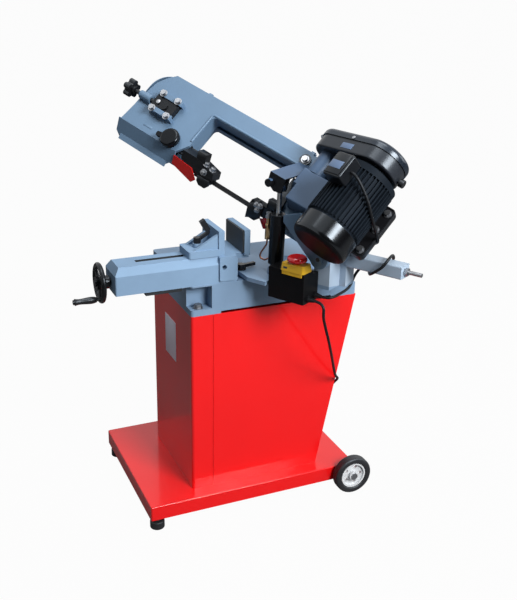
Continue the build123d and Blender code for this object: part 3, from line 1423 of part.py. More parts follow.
# Belt case: a pan round both shafts and a shallower lid on a hinge barrel
CASE_WORM = 46.0
CASE_MOTOR = 60.0
CASE_LIP = 3.0
CASE_BARREL = 4.0
CASE_HINGE = 58.0
CASE_HINGE_LENGTH = 20.0
with BuildPart() as belt_pan:
    with BuildSketch(shaft(PAN_BOTTOM)):
        with Locations((WORM_U, WORM_N)):
            Circle(CASE_WORM)
        with Locations((MOTOR_U, MOTOR_N)):
            Circle(CASE_MOTOR)
        make_hull()
    extrude(amount=PAN_BOTTOM - SEAM)
    fillet(belt_pan.edges().group_by(Axis(HINGE, SLOPE))[-1], radius=5)
    with BuildSketch(shaft(PAN_BOTTOM - 3)):
        with Locations((WORM_U, WORM_N)):
            Circle(CASE_WORM - 3)
        with Locations((MOTOR_U, MOTOR_N)):
            Circle(CASE_MOTOR - 3)
        make_hull()
    extrude(amount=PAN_BOTTOM - SEAM, mode=Mode.SUBTRACT)
    with BuildSketch(shaft(PAN_BOTTOM + 1)):
        with Locations((WORM_U, WORM_N), (MOTOR_U, MOTOR_N)):
            Circle(SHAFT_RADIUS + 4)
    extrude(amount=20, mode=Mode.SUBTRACT)
    with BuildSketch(face(CASE_HINGE - GAP)):
        with Locations((WORM_U + CASE_WORM + CASE_LIP, SEAM)):
            Circle(CASE_BARREL + GAP)
    extrude(amount=CASE_HINGE_LENGTH + 2 * GAP, mode=Mode.SUBTRACT)
finish(belt_pan, "belt_pan")

with BuildPart() as belt_lid:
    with BuildSketch(shaft(SEAM)):
        with Locations((WORM_U, WORM_N)):
            Circle(CASE_WORM + CASE_LIP)
        with Locations((MOTOR_U, MOTOR_N)):
            Circle(CASE_MOTOR + CASE_LIP)
        make_hull()
    extrude(amount=SEAM - LID_TOP)
    fillet(belt_lid.edges().group_by(Axis(HINGE, SLOPE))[0], radius=12)
    with BuildSketch(shaft(SEAM)):
        with Locations((WORM_U, WORM_N)):
            Circle(CASE_WORM)
        with Locations((MOTOR_U, MOTOR_N)):
            Circle(CASE_MOTOR)
        make_hull()
    extrude(amount=SEAM - LID_TOP - 9, mode=Mode.SUBTRACT)
    with BuildSketch(face(CASE_HINGE)):
        with Locations((WORM_U + CASE_WORM + CASE_LIP, SEAM)):
            Circle(CASE_BARREL)
    extrude(amount=CASE_HINGE_LENGTH)
finish(belt_lid, "belt_lid")

# Clamp knob of the belt case, on the motor end of the pan
KNOB_REACH = CASE_MOTOR
KNOB_D = -201.0
with BuildPart() as belt_knob:
    with BuildSketch(slice_along(MOTOR_U - KNOB_REACH - GAP)):
        with Locations((KNOB_D, MOTOR_N)):
            Circle(5)
    extrude(amount=-5)
    with BuildSketch(slice_along(MOTOR_U - KNOB_REACH - 5)):
        with Locations((KNOB_D, MOTOR_N)):
            Circle(10)
    extrude(amount=-11)
    fillet(belt_knob.edges().group_by(Axis(HINGE, ALONG))[0], radius=2)
finish(belt_knob, "belt_knob")

# Lift bracket: a channel from the bow's face to the stud that the lift rod's eye stands round
rod_offset = rod_pivot - HINGE
STUD_U = rod_offset.dot(ALONG)
STUD_PLUMB = rod_offset.dot(PLUMB)
WEB_TOP = -133.0
WEB_LEFT = 197.0
WEB_RIGHT = 153.0
BRACKET_BOLT_U = 190.0
BRACKET_BOLT_D = -168.0
with BuildPart() as lift_bracket:
    with BuildSketch(leaf(-104)):
        with Locations(((WEB_LEFT + WEB_RIGHT) / 2, WEB_TOP + 2)):
            Rectangle(WEB_LEFT - WEB_RIGHT, 4)
    extrude(amount=LIFT_F + 12 + 104)
    with BuildSketch(face(FACE)):
        with Locations((175, -150)):
            Rectangle(100, 100)
    extrude(amount=-60, mode=Mode.SUBTRACT)
    with BuildSketch(face(FACE)):
        with Locations((BRACKET_BOLT_U, BRACKET_BOLT_D)):
            Circle(15)
    extrude(amount=5)
    with BuildSketch(leaf(LIFT_F - 12), leaf(LIFT_F + 8)):
        with BuildLine():
            Polyline(
                (WEB_RIGHT, WEB_TOP + 1),
                (WEB_LEFT, WEB_TOP + 1),
                (WEB_LEFT, STUD_PLUMB),
                (STUD_U + 8, STUD_PLUMB + 12),
                (WEB_RIGHT, STUD_PLUMB + 8),
                close=True,
            )
        make_face()
    extrude(amount=4)
    with BuildSketch(leaf(LIFT_F - 9)):
        with Locations((STUD_U, STUD_PLUMB)):
            Circle(STUD_RADIUS)
    extrude(amount=18)
    with BuildSketch(leaf(LIFT_F + 12)):
        with Locations((WEB_LEFT - 8, STUD_PLUMB - 4)):
            Circle(10)
    extrude(amount=9)
    with BuildSketch(face(FACE + 6)):
        with Locations((BRACKET_BOLT_U, BRACKET_BOLT_D)):
            Circle(3.8)
    extrude(amount=-7, mode=Mode.SUBTRACT)
finish(lift_bracket, "lift_bracket")

# Right blade guide: fixed to the drive end of the face, with pads on both sides of the blade
BLADE_F = BLADE_D * sin(radians(BLADE_TURN))
BLADE_BACK = BLADE_F - BLADE_WIDTH / 2
PAD_GAP = 0.4
PAD_FRONT = BLADE_F + BLADE_THICK / 2 + PAD_GAP
PAD_BACK = BLADE_F - BLADE_THICK / 2 - PAD_GAP
with BuildPart() as right_guide:
    with BuildSketch(slice_along(160)):
        with BuildLine():
            Polyline(
                (-112, FACE),
                (-112, 36),
                (-56, 36),
                (-20, 26),
                (-12, 12),
                (-24, 12),
                (-42, FACE),
                close=True,
            )
        make_face()
    extrude(amount=22)
    with BuildSketch(leaf(-14)):
        with BuildLine():
            Polyline((178, -27), (240, -27), (246, BLADE_BACK - 1), (176, BLADE_BACK - 1), close=True)
        make_face()
    extrude(amount=22)
    with BuildSketch(leaf(PAD_FRONT)):
        with Locations((211, (BLADE_BACK - 2 + 3) / 2)):
            Rectangle(56, 5 - BLADE_BACK)
    extrude(amount=9)
    with BuildSketch(leaf(PAD_BACK)):
        with Locations((211, (BLADE_BACK - 2 + 3) / 2)):
            Rectangle(56, 5 - BLADE_BACK)
    extrude(amount=-9)
finish(right_guide, "right_guide")

# Left blade guide: a bar behind the nose's face that slides along the bow, with its head
BAR_LOW = 13.0
BAR_HIGH = 19.7
BAR_TOP = -48.0
BAR_BOTTOM = -18.0
HEAD_LEFT = 476.0
HEAD_RIGHT = 367.0
with BuildPart() as guide_arm:
    with BuildSketch(face(BAR_LOW)):
        with Locations(((HEAD_LEFT - 20 + 690) / 2, (BAR_TOP + BAR_BOTTOM) / 2)):
            Rectangle(690 - HEAD_LEFT + 20, BAR_BOTTOM - BAR_TOP)
        with Locations((CLAMP_U + 54, CLAMP_D)):
            SlotOverall(126, 2 * (STUD_RADIUS + GAP), mode=Mode.SUBTRACT)
    extrude(amount=BAR_HIGH - BAR_LOW)
    with BuildSketch(leaf(-20)):
        with BuildLine():
            Polyline(
                (HEAD_LEFT, -46),
                (430, -46),
                (HEAD_RIGHT, -30),
                (HEAD_RIGHT, BLADE_BACK - 1),
                (HEAD_LEFT - 36, BLADE_BACK - 1),
                (HEAD_LEFT, -22),
                close=True,
            )
        make_face()
    extrude(amount=32)
    with BuildSketch(leaf(PAD_FRONT)):
        with Locations((HEAD_RIGHT + 32, (BLADE_BACK - 2 + 3) / 2)):
            Rectangle(56, 5 - BLADE_BACK)
    extrude(amount=11)
    with BuildSketch(leaf(PAD_BACK)):
        with Locations((HEAD_RIGHT + 32, (BLADE_BACK - 2 + 3) / 2)):
            Rectangle(56, 5 - BLADE_BACK)
    extrude(amount=-11)
finish(guide_arm, "guide_arm")

# Red blade guard in front of the left guide
GUARD_F = 12.2
with BuildPart() as blade_guard:
    with BuildSketch(leaf(GUARD_F)):
        with BuildLine():
            Polyline((500, -20), (500, 4), (428, 22), (416, 10), (436, -14), close=True)
        make_face()
    extrude(amount=2.5)
finish(blade_guard, "blade_guard")

# Clamp knob of the left guide, on the nose's face, with a thumb grip at its side
GUIDE_KNOB = 26.0
with BuildPart() as guide_knob:
    with BuildSketch(face(BAR_LOW + 1)):
        with Locations((CLAMP_U, CLAMP_D)):
            Circle(STUD_RADIUS)
    extrude(amount=FACE + 4 - BAR_LOW)
    with BuildSketch(face(FACE + GAP)):
        with Locations((CLAMP_U, CLAMP_D)):
            Circle(9)
    extrude(amount=8)
    with BuildSketch(face(FACE + 8)):
        with Locations((CLAMP_U, CLAMP_D)):
            Circle(GUIDE_KNOB)
    extrude(amount=16)
    fillet(guide_knob.edges().group_by(Axis(HINGE, OUT))[-1], radius=7)
    with BuildSketch(face(FACE + 10)):
        with Locations((CLAMP_U, CLAMP_D)):
            with PolarLocations(GUIDE_KNOB, 1, start_angle=12):
                RectangleRounded(30, 13, 5)
    extrude(amount=9)
finish(guide_knob, "guide_knob")

# Blade cover: a sheet pan behind the bow, hinged along its top edge
COVER_BACK = -36.0
COVER_FRONT = -15.0
COVER_SHEET = 2.0
with BuildSketch() as cover_outline:
    with BuildLine():
        Polyline(
            (-28, -205),
            (731, -205),
            (731, 4),
            (487, 4),
            (487, -139),
            (187, -139),
            (187, -24),
            (154, 2),
            (62, 2),
            (38, -36),
            (-28, -68),
            close=True,
        )
    make_face()
    fillet(vertices().sort_by_distance(Vector(731, -205))[0], radius=57)
    fillet(vertices().sort_by_distance(Vector(731, 4))[0], radius=40)
    fillet(vertices().sort_by_distance(Vector(-28, -205))[0], radius=40)
    fillet(vertices().sort_by_distance(Vector(487, -139))[0], radius=12)
    fillet(vertices().sort_by_distance(Vector(187, -139))[0], radius=12)
with BuildPart() as blade_cover:
    with BuildSketch(face(COVER_BACK)):
        add(cover_outline.sketch)
    extrude(amount=COVER_FRONT - COVER_BACK)
    with BuildSketch(face(COVER_BACK + COVER_SHEET)):
        add(cover_outline.sketch)
        offset(amount=-COVER_SHEET, mode=Mode.REPLACE)
    extrude(amount=COVER_FRONT - COVER_BACK, mode=Mode.SUBTRACT)
    with BuildSketch(face(COVER_FRONT - 1)):
        with Locations(((COVER_LUG_LOW + COVER_LUG + COVER_LUG_HIGH) / 2, -205.5)):
            Rectangle(COVER_LUG_HIGH - COVER_LUG_LOW - COVER_LUG - 2, 5)
    extrude(amount=COVER_HINGE_N - COVER_FRONT + 2)
    with BuildSketch(slice_along(COVER_LUG_LOW - 1), slice_along(COVER_LUG_HIGH - 1)):
        with Locations((COVER_HINGE_D + 4, COVER_FRONT - 3)):
            Rectangle(10, 9)
    extrude(amount=COVER_LUG + 2, mode=Mode.SUBTRACT)
    with BuildSketch(slice_along(COVER_LUG_LOW - 4)):
        with Locations((COVER_HINGE_D, COVER_HINGE_N)):
            Circle(3)
    extrude(amount=COVER_LUG_HIGH + COVER_LUG + 8 - COVER_LUG_LOW)
finish(blade_cover, "blade_cover")

# Bolts on the bow: slide keepers, motor plate and lift bracket
with BuildPart() as bow_bolts:
    add(hex_bolts(face(SLIDE_TOP + GAP + 4), keeper_places, 13, SLIDE_TOP + GAP + 4 - FACE))
    add(hex_bolts(face(PLATE_HIGH), plate_places, 13, PLATE_HIGH - PLATE_LOW))
    add(hex_bolts(face(FACE + 5), [(BRACKET_BOLT_U, BRACKET_BOLT_D)], 13, 5))
finish(bow_bolts, "bow_bolts")


def stand(x, y, z):
    """A place on the stand."""
    return Vector(x - ORIGIN_X, y - ORIGIN_Y, z)


def swing(r, f, z):
    """A place on the swivel."""
    return PIVOT + REACH * r + FORWARD * f + UP * z


def bow(u, d, n):
    """A place on the bow."""
    return HINGE + ALONG * u + SLOPE * d + OUT * n


def cord_path(name, points):
    """Straight runs through the points, joined by arcs as large as the runs allow."""
    radii = []
    for before, corner, after in zip(points, points[1:], points[2:]):
        half_turn = radians((corner - before).get_angle(after - corner)) / 2
        shorter = min((corner - before).length, (after - corner).length)
        radii.append(0.45 * shorter / tan(half_turn))
    print(name, "radii", [round(radius) for radius in radii])
    with BuildLine() as path:
        FilletPolyline(*points, radius=radii)
    return path.wire()


def cord_tube(name, path):
    """A round tube along a path, with its volume compared with its section times its length."""
    with BuildPart() as tube:
        with BuildSketch(Plane(origin=path @ 0, z_dir=path % 0)):
            Circle(CORD_RADIUS)
        sweep(path=path)
    plain = pi * CORD_RADIUS**2 * path.length
    print(name, "length", round(path.length), "volume ratio", round(tube.part.volume / plain, 4))
    finish(tube, name)


# Mains cord: from its gland, down past the cabinet's slanting edge and over the back of the tray
COIL_X = 385.0
COIL_Y = 498.0
COIL_RADIUS = 46.0
COIL_STEP = 7.6
CORD_FLOOR = CORD_RADIUS + 0.1
LEAD_IN = 2 * CORD_RADIUS
mains_points = [
    swing(BOX_RIGHT + GLAND_LENGTH, MAINS_F, MAINS_Z),
    swing(334, MAINS_F, MAINS_Z),
    swing(345.5, MAINS_F, 620.5),
    stand(388, -145, 600),
    stand(402, -135, 565),
    stand(425, -114, 516),
    stand(454, -78, 461),
    stand(488, -32, 401),
    stand(521, 14, 345),
    stand(558, 50, 305),
    stand(549, 78, 251),
    stand(533, 97, 192),
    stand(521, 113, 138),
    stand(515, 140, 97),
    stand(514, 182, 81),
    stand(511, 235, 79),
    stand(508, 292, 79),
    stand(502, 345, 81),
    stand(495, 396, 87),
    stand(485, 437, 86),
    stand(474, 474, 64),
    stand(464, 502, 32),
    stand(448, 525, 10),
    stand(426, 540, 4.5),
    stand(409, COIL_Y + COIL_RADIUS, CORD_FLOOR),
    stand(COIL_X + LEAD_IN, COIL_Y + COIL_RADIUS, CORD_FLOOR),
]
cord_tube("mains_cord", cord_path("mains_cord", mains_points))

# Coil of the mains cord's spare length: half turns that spiral in, climb, and spiral out on top
coil_x = Vector(0, 1, 0)
coil_y = Vector(-1, 0, 0)
HALF_TURNS_IN = 4
half_step = COIL_STEP / 2
tail = stand(COIL_X + LEAD_IN, COIL_Y + COIL_RADIUS, CORD_FLOOR)
with BuildLine() as coil_line:
    Line(tail, tail + coil_y * LEAD_IN)
    place = tail + coil_y * LEAD_IN
    heading = coil_y
    radius = COIL_RADIUS
    for turn_number in range(2 * HALF_TURNS_IN + 1):
        inward = coil_x * (-1 if turn_number % 2 == 0 else 1)
        climb = COIL_STEP if turn_number == HALF_TURNS_IN else 0
        goal = place + inward * (2 * radius) + UP * climb
        joint = (place + goal) * 0.5 + heading * ((goal - place).length / 2)
        first = TangentArc(place, joint, tangent=heading)
        TangentArc(joint, goal, tangent=first % 1)
        place = goal
        heading = -heading
        radius += -half_step if turn_number < HALF_TURNS_IN else half_step
    Line(place, place + heading * LEAD_IN)
plug_start = place + heading * LEAD_IN
coil_path = coil_line.wire()
cord_tube("cord_coil", coil_path)
COIL_SAMPLES = 500
samples = [coil_path @ (step / COIL_SAMPLES) for step in range(COIL_SAMPLES + 1)]
apart = int(COIL_SAMPLES * 6 * CORD_RADIUS / coil_path.length)
nearest = min(
    (samples[i] - samples[j]).length for i in range(COIL_SAMPLES) for j in range(i + apart, COIL_SAMPLES + 1)
)
print("cord_coil least gap", round(nearest - 2 * CORD_RADIUS, 2))

# Mains plug: a flat moulded body with a tapered tail and two round pins
plug_plane = Plane(origin=plug_start, x_dir=UP, z_dir=heading)
TAIL = 42.0
PLUG_LENGTH = 38.0
with BuildPart() as mains_plug:
    with BuildSketch(plug_plane):
        Circle(CORD_RADIUS + 0.1)
    with BuildSketch(plug_plane.offset(TAIL)):
        Circle(6.5)
    loft()
    with BuildSketch(plug_plane.offset(TAIL - 1)):
        RectangleRounded(20, 34, 8)
    extrude(amount=PLUG_LENGTH)
    with BuildSketch(plug_plane.offset(TAIL - 1 + PLUG_LENGTH)):
        with Locations((0, -9.5), (0, 9.5)):
            Circle(2.4)
    extrude(amount=19)
finish(mains_plug, "mains_plug")

# Motor lead: from the terminal box over the motor's flank, round the beam and to its gland
lead_side = terminal_out.cross(SLOPE)
lead_start = motor_axis + terminal_out * 84 + lead_side * TERMINAL_HALF + SLOPE * TERMINAL_D
lead_points = [
    lead_start,
    lead_start + lead_side * 10,
    bow(-33, -124, 204),
    bow(-52, -114, 189),
    bow(-69, -103, 171),
    bow(-84, -91, 149),
    bow(-92, -84, 116),
    bow(-97, -80, 80),
    bow(-99, -84, 47),
    bow(-88, -84, 20),
    bow(-64, -78, 0),
    bow(-50, -65, -19),
    swing(367, -80, 722),
    swing(384, -92, 706),
    swing(408, -94, 703),
    swing(430, -88, 711),
    swing(444, -76, 728),
    swing(450, -58, 743),
    swing(456, -36, 746),
    swing(458, -16, 741),
    swing(451, -9, 726),
    swing(434, -10, 712),
    swing(417, -15, 699),
    swing(404, -34, 692),
    swing(388, -60, 691),
    swing(368, -82, 690),
    swing(348, -92, 680),
    swing(335, -90, 661),
    swing(334, -78, 645),
    swing(341, -56, 639),
    swing(346, -28, 638),
    swing(347, 0, 638),
    swing(345, 23, 636),
    swing(334, LEAD_F, LEAD_Z),
    swing(BOX_RIGHT + GLAND_LENGTH, LEAD_F, LEAD_Z),
]
cord_tube("motor_lead", cord_path("motor_lead", lead_points))
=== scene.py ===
import math

import bmesh
import bpy
from mathutils import Matrix, Vector


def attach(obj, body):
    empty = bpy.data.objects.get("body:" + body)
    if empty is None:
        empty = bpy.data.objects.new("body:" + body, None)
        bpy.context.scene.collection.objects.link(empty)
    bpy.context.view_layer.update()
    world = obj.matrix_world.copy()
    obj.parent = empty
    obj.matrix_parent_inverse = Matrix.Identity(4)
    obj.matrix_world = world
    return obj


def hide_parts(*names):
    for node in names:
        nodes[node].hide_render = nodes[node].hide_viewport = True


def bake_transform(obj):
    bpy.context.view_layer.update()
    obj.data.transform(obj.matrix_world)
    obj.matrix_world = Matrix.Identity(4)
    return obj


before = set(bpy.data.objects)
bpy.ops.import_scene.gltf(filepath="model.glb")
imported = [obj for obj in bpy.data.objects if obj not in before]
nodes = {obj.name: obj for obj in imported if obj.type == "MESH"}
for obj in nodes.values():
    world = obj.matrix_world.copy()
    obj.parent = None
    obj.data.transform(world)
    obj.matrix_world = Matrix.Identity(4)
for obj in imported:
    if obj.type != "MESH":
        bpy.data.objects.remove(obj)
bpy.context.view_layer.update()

# Camera and studio: the machine stands on a pale floor in front of a white backdrop.
# A large soft lamp hangs in front and another overhead, so the machine's left end is in shade.
# A dark curtain behind the camera keeps the front of the glossy paint from mirroring white.
IMAGE_HEIGHT = 600
FOCAL_PIXELS = 889.6
CAMERA_PLACE = (-0.77815, -1.99818, 1.4020)
camera_data = bpy.data.cameras.new("photo_camera")
camera_data.sensor_width = 36.0
camera_data.lens = camera_data.sensor_width * FOCAL_PIXELS / IMAGE_HEIGHT
camera = bpy.data.objects.new("photo_camera", camera_data)
view_right = Vector((0.9155, -0.4019, 0.0196))
view_up = Vector((0.1312, 0.3442, 0.9297))
view_back = Vector((-0.3804, -0.8486, 0.3678))
camera_turn = Matrix((view_right, view_up, view_back)).transposed().to_4x4()
camera.matrix_world = Matrix.Translation(CAMERA_PLACE) @ camera_turn
bpy.context.scene.collection.objects.link(camera)
bpy.context.scene.camera = camera
bpy.context.scene.view_settings.view_transform = "Standard"

world = bpy.data.worlds.new("studio_air")
bpy.context.scene.world = world
world.use_nodes = True
air = world.node_tree
air.nodes.clear()
rays = air.nodes.new("ShaderNodeLightPath")
seen = air.nodes.new("ShaderNodeMath")
seen.operation = "MAXIMUM"
air.links.new(rays.outputs["Is Camera Ray"], seen.inputs[0])
air.links.new(rays.outputs["Is Glossy Ray"], seen.inputs[1])
through = air.nodes.new("ShaderNodeMath")
through.operation = "MAXIMUM"
air.links.new(seen.outputs[0], through.inputs[0])
air.links.new(rays.outputs["Is Transmission Ray"], through.inputs[1])
room_light = air.nodes.new("ShaderNodeBackground")
room_light.inputs["Color"].default_value = (0.92, 0.96, 1.0, 1)
room_light.inputs["Strength"].default_value = 0.15
white_wall = air.nodes.new("ShaderNodeBackground")
white_wall.inputs["Color"].default_value = (1, 1, 1, 1)
air_mix = air.nodes.new("ShaderNodeMixShader")
air.links.new(through.outputs[0], air_mix.inputs["Fac"])
air.links.new(room_light.outputs[0], air_mix.inputs[1])
air.links.new(white_wall.outputs[0], air_mix.inputs[2])
air_out = air.nodes.new("ShaderNodeOutputWorld")
air.links.new(air_mix.outputs[0], air_out.inputs["Surface"])


def soft_lamp(name, place, aim, size, power):
    """A square soft lamp at a place, turned towards a point."""
    data = bpy.data.lights.new(name, "AREA")
    data.size = size
    data.energy = power
    lamp = bpy.data.objects.new(name, data)
    lamp.location = place
    lamp.rotation_euler = (Vector(aim) - Vector(place)).to_track_quat("-Z", "Y").to_euler()
    bpy.context.scene.collection.objects.link(lamp)


soft_lamp("front_lamp", (0.9, -2.95, 2.44), (0, 0, 0.6), 1.3, 160)
soft_lamp("top_lamp", (-0.3, -0.2, 5.0), (-0.1, 0, 0), 2.5, 105)
soft_lamp("right_lamp", (2.6, -1.4, 1.6), (0, 0, 0.6), 1.2, 20)


def studio_sheet(name, mesh):
    """A sheet of the studio, which belongs to no part of the machine."""
    data = bpy.data.meshes.new(name)
    mesh.to_mesh(data)
    mesh.free()
    made = bpy.data.objects.new(name, data)
    bpy.context.scene.collection.objects.link(made)
    return made


CURTAIN_WIDE = 12
CURTAIN_HIGH = 6
upright = Matrix.Rotation(math.radians(90), 3, "X")
curtain_mesh = bmesh.new()
bmesh.ops.create_grid(curtain_mesh, x_segments=1, y_segments=1, size=0.5)
bmesh.ops.scale(curtain_mesh, vec=(CURTAIN_WIDE, CURTAIN_HIGH, 1), verts=curtain_mesh.verts)
bmesh.ops.rotate(curtain_mesh, cent=(0, 0, 0), matrix=upright, verts=curtain_mesh.verts)
bmesh.ops.translate(curtain_mesh, vec=(-0.5, -4.6, CURTAIN_HIGH / 2), verts=curtain_mesh.verts)
curtain = studio_sheet("studio_curtain", curtain_mesh)
curtain.visible_camera = False
curtain_cloth = bpy.data.materials.new("curtain_cloth")
curtain_cloth.use_nodes = True
cloth = curtain_cloth.node_tree.nodes["Principled BSDF"]
cloth.inputs["Base Color"].default_value = (0.03, 0.03, 0.03, 1)
cloth.inputs["Roughness"].default_value = 1
curtain.data.materials.append(curtain_cloth)

FLOOR_RADIUS = 60
FLOOR_WHITE = 0.97
floor_mesh = bmesh.new()
bmesh.ops.create_circle(floor_mesh, cap_ends=True, segments=96, radius=FLOOR_RADIUS)
floor = studio_sheet("studio_floor", floor_mesh)
floor_paint = bpy.data.materials.new("floor_paint")
floor_paint.use_nodes = True
sheet = floor_paint.node_tree
sheet.nodes.clear()
floor_rays = sheet.nodes.new("ShaderNodeLightPath")
floor_share = sheet.nodes.new("ShaderNodeMath")
floor_share.operation = "MULTIPLY"
floor_share.inputs[1].default_value = FLOOR_WHITE
sheet.links.new(floor_rays.outputs["Is Camera Ray"], floor_share.inputs[0])
floor_matt = sheet.nodes.new("ShaderNodeBsdfDiffuse")
floor_matt.inputs["Color"].default_value = (0.2, 0.2, 0.2, 1)
floor_glow = sheet.nodes.new("ShaderNodeEmission")
floor_mix = sheet.nodes.new("ShaderNodeMixShader")
sheet.links.new(floor_share.outputs[0], floor_mix.inputs["Fac"])
sheet.links.new(floor_matt.outputs[0], floor_mix.inputs[1])
sheet.links.new(floor_glow.outputs[0], floor_mix.inputs[2])
floor_out = sheet.nodes.new("ShaderNodeOutputMaterial")
sheet.links.new(floor_mix.outputs[0], floor_out.inputs["Surface"])
floor.data.materials.append(floor_paint)

# Mains cord and motor lead: round black rubber flex, 7 mm across, from glands on the switch box.
# The mains cord hangs past the cabinet to a tied coil behind the tray. The lead runs from the
# motor's terminal box down behind its plate, over the spring beam and back to its own gland.
CORD_WIDE = 0.007
ORIGIN = Vector((0.23825, 0.15538, 0))
UP = Vector((0, 0, 1))
MITRE = math.radians(60)
LIFTED = math.radians(18.3)
HINGE_REACH = 0.307
HINGE_HIGH = 0.726
PIVOT = Vector((0.275, 0.188, 0)) - ORIGIN
REACH = Vector((math.cos(MITRE), -math.sin(MITRE), 0))
FORWARD = Vector((-math.sin(MITRE), -math.cos(MITRE), 0))
HINGE = PIVOT + REACH * HINGE_REACH + UP * HINGE_HIGH
ALONG = UP * math.sin(LIFTED) - REACH * math.cos(LIFTED)
PLUMB = -REACH * math.sin(LIFTED) - UP * math.cos(LIFTED)
SLOPE = (PLUMB + FORWARD).normalized()
OUT = (FORWARD - PLUMB).normalized()


def stand(x, y, z):
    """A place on the stand, in millimetres from the tray's left end, front edge and the floor."""
    return Vector((x, y, z)) / 1000 - ORIGIN


def swing(r, f, z):
    """A place on the swivel: towards the hinge, to its front side, and above the floor."""
    return PIVOT + (REACH * r + FORWARD * f + UP * z) / 1000


def bow(u, d, n):
    """A place on the bow: from its hinge to the nose, down its face, and out of its face."""
    return HINGE + (ALONG * u + SLOPE * d + OUT * n) / 1000


def flex(name, points, width):
    """A round flex on a smooth spline: its mesh and the points along its middle."""
    data = bpy.data.curves.new(name, "CURVE")
    data.dimensions = "3D"
    data.resolution_u = 6
    spline = data.splines.new("NURBS")
    spline.points.add(len(points) - 1)
    for knot, place in zip(spline.points, points):
        knot.co = (*place, 1)
    spline.order_u = 3
    spline.use_endpoint_u = True
    line = bpy.data.objects.new(name + "_line", data)
    bpy.context.scene.collection.objects.link(line)
    bare = bpy.data.meshes.new_from_object(line)
    middle = [vertex.co.copy() for vertex in bare.vertices]
    data.bevel_depth = width / 2
    data.bevel_resolution = 4
    data.use_fill_caps = True
    bpy.context.view_layer.update()
    shown = line.evaluated_get(bpy.context.evaluated_depsgraph_get())
    tube = bpy.data.meshes.new_from_object(shown)
    bpy.data.objects.remove(line)
    tube.name = name
    for face in tube.polygons:
        face.use_smooth = True
    cord = bpy.data.objects.new(name, tube)
    bpy.context.scene.collection.objects.link(cord)
    return cord, middle


COIL_MIDDLE = (385, 498)
COIL_RADIUS = 46
COIL_STEP = 7.6
HALF_TURNS_IN = 4
COIL_FLOOR = 3.6
HALF_TURN_KNOTS = 8
mains_route = [
    swing(318, 66, 632), swing(334, 66, 632), swing(345.5, 66, 620.5), stand(388, -145, 600),
    stand(402, -135, 565), stand(425, -114, 516), stand(454, -78, 461), stand(488, -32, 401),
    stand(518, 10, 350), stand(544, 36, 327), stand(541, 62, 300), stand(533, 85, 262),
    stand(523, 98, 205), stand(515, 112, 145), stand(513, 140, 97), stand(514, 182, 81),
    stand(511, 235, 79), stand(508, 292, 79), stand(502, 345, 81), stand(495, 396, 87),
    stand(485, 437, 86), stand(474, 474, 64), stand(464, 502, 32), stand(448, 525, 10),
    stand(426, 540, 4.5), stand(409, 544, 3.6), stand(392, 544, 3.6),
]
coil_end = Vector((COIL_MIDDLE[0], COIL_MIDDLE[1] + COIL_RADIUS, COIL_FLOOR))
heading = Vector((-1, 0, 0))
radius = COIL_RADIUS
knot_share = 1 / math.cos(math.pi / 2 / HALF_TURN_KNOTS)
for half_turn in range(2 * HALF_TURNS_IN + 1):
    across = Vector((0, -1 if half_turn % 2 == 0 else 1, 0)) * 2 * radius
    if half_turn == HALF_TURNS_IN:
        across.z = COIL_STEP
    middle = coil_end + across / 2
    for knot in range(HALF_TURN_KNOTS):
        angle = math.pi * (knot + 0.5) / HALF_TURN_KNOTS
        round_it = heading * across.length / 2 * math.sin(angle) - across / 2 * math.cos(angle)
        mains_route.append(stand(*(middle + round_it * knot_share)))
    coil_end += across
    heading = -heading
    radius += -COIL_STEP / 2 if half_turn < HALF_TURNS_IN else COIL_STEP / 2
for tail in (3, 7):
    mains_route.append(stand(*(coil_end + heading * tail)))
mains_cord, mains_middle = flex("mains_flex", mains_route, CORD_WIDE)

TERMINAL_TURN = math.radians(68)
terminal_out = (ALONG * math.cos(TERMINAL_TURN) + OUT * math.sin(TERMINAL_TURN)).normalized()
terminal_side = terminal_out.cross(SLOPE)
motor_axis = bow(-14, 0, 118)
lead_start = motor_axis + (terminal_out * 84 + terminal_side * 27 - SLOPE * 130) / 1000
lead_route = [
    lead_start, lead_start + terminal_side * 0.010, bow(-33, -124, 204), bow(-52, -114, 189),
    bow(-69, -103, 171), bow(-82, -91, 149), bow(-89, -85, 116),
    bow(-93, -83, 80), bow(-94.5, -83, 47), bow(-88, -83, 18), bow(-64, -78, 0), bow(-50, -65, -19),
    swing(367, -80, 722), swing(384, -92, 706), swing(408, -94, 703), swing(430, -88, 711),
    swing(444, -76, 728), swing(450, -58, 743), swing(456, -36, 746), swing(458, -16, 741),
    swing(451, -9, 726), swing(434, -10, 712), swing(417, -15, 699), swing(404, -34, 692),
    swing(388, -60, 691), swing(368, -82, 690), swing(348, -92, 680), swing(335, -90, 661),
    swing(334, -78, 645), swing(341, -56, 639), swing(346, -28, 638), swing(347, 0, 638),
    swing(345, 23, 636), swing(334, 36, 634), swing(318, 36, 634),
]
motor_lead, lead_middle = flex("motor_flex", lead_route, CORD_WIDE)


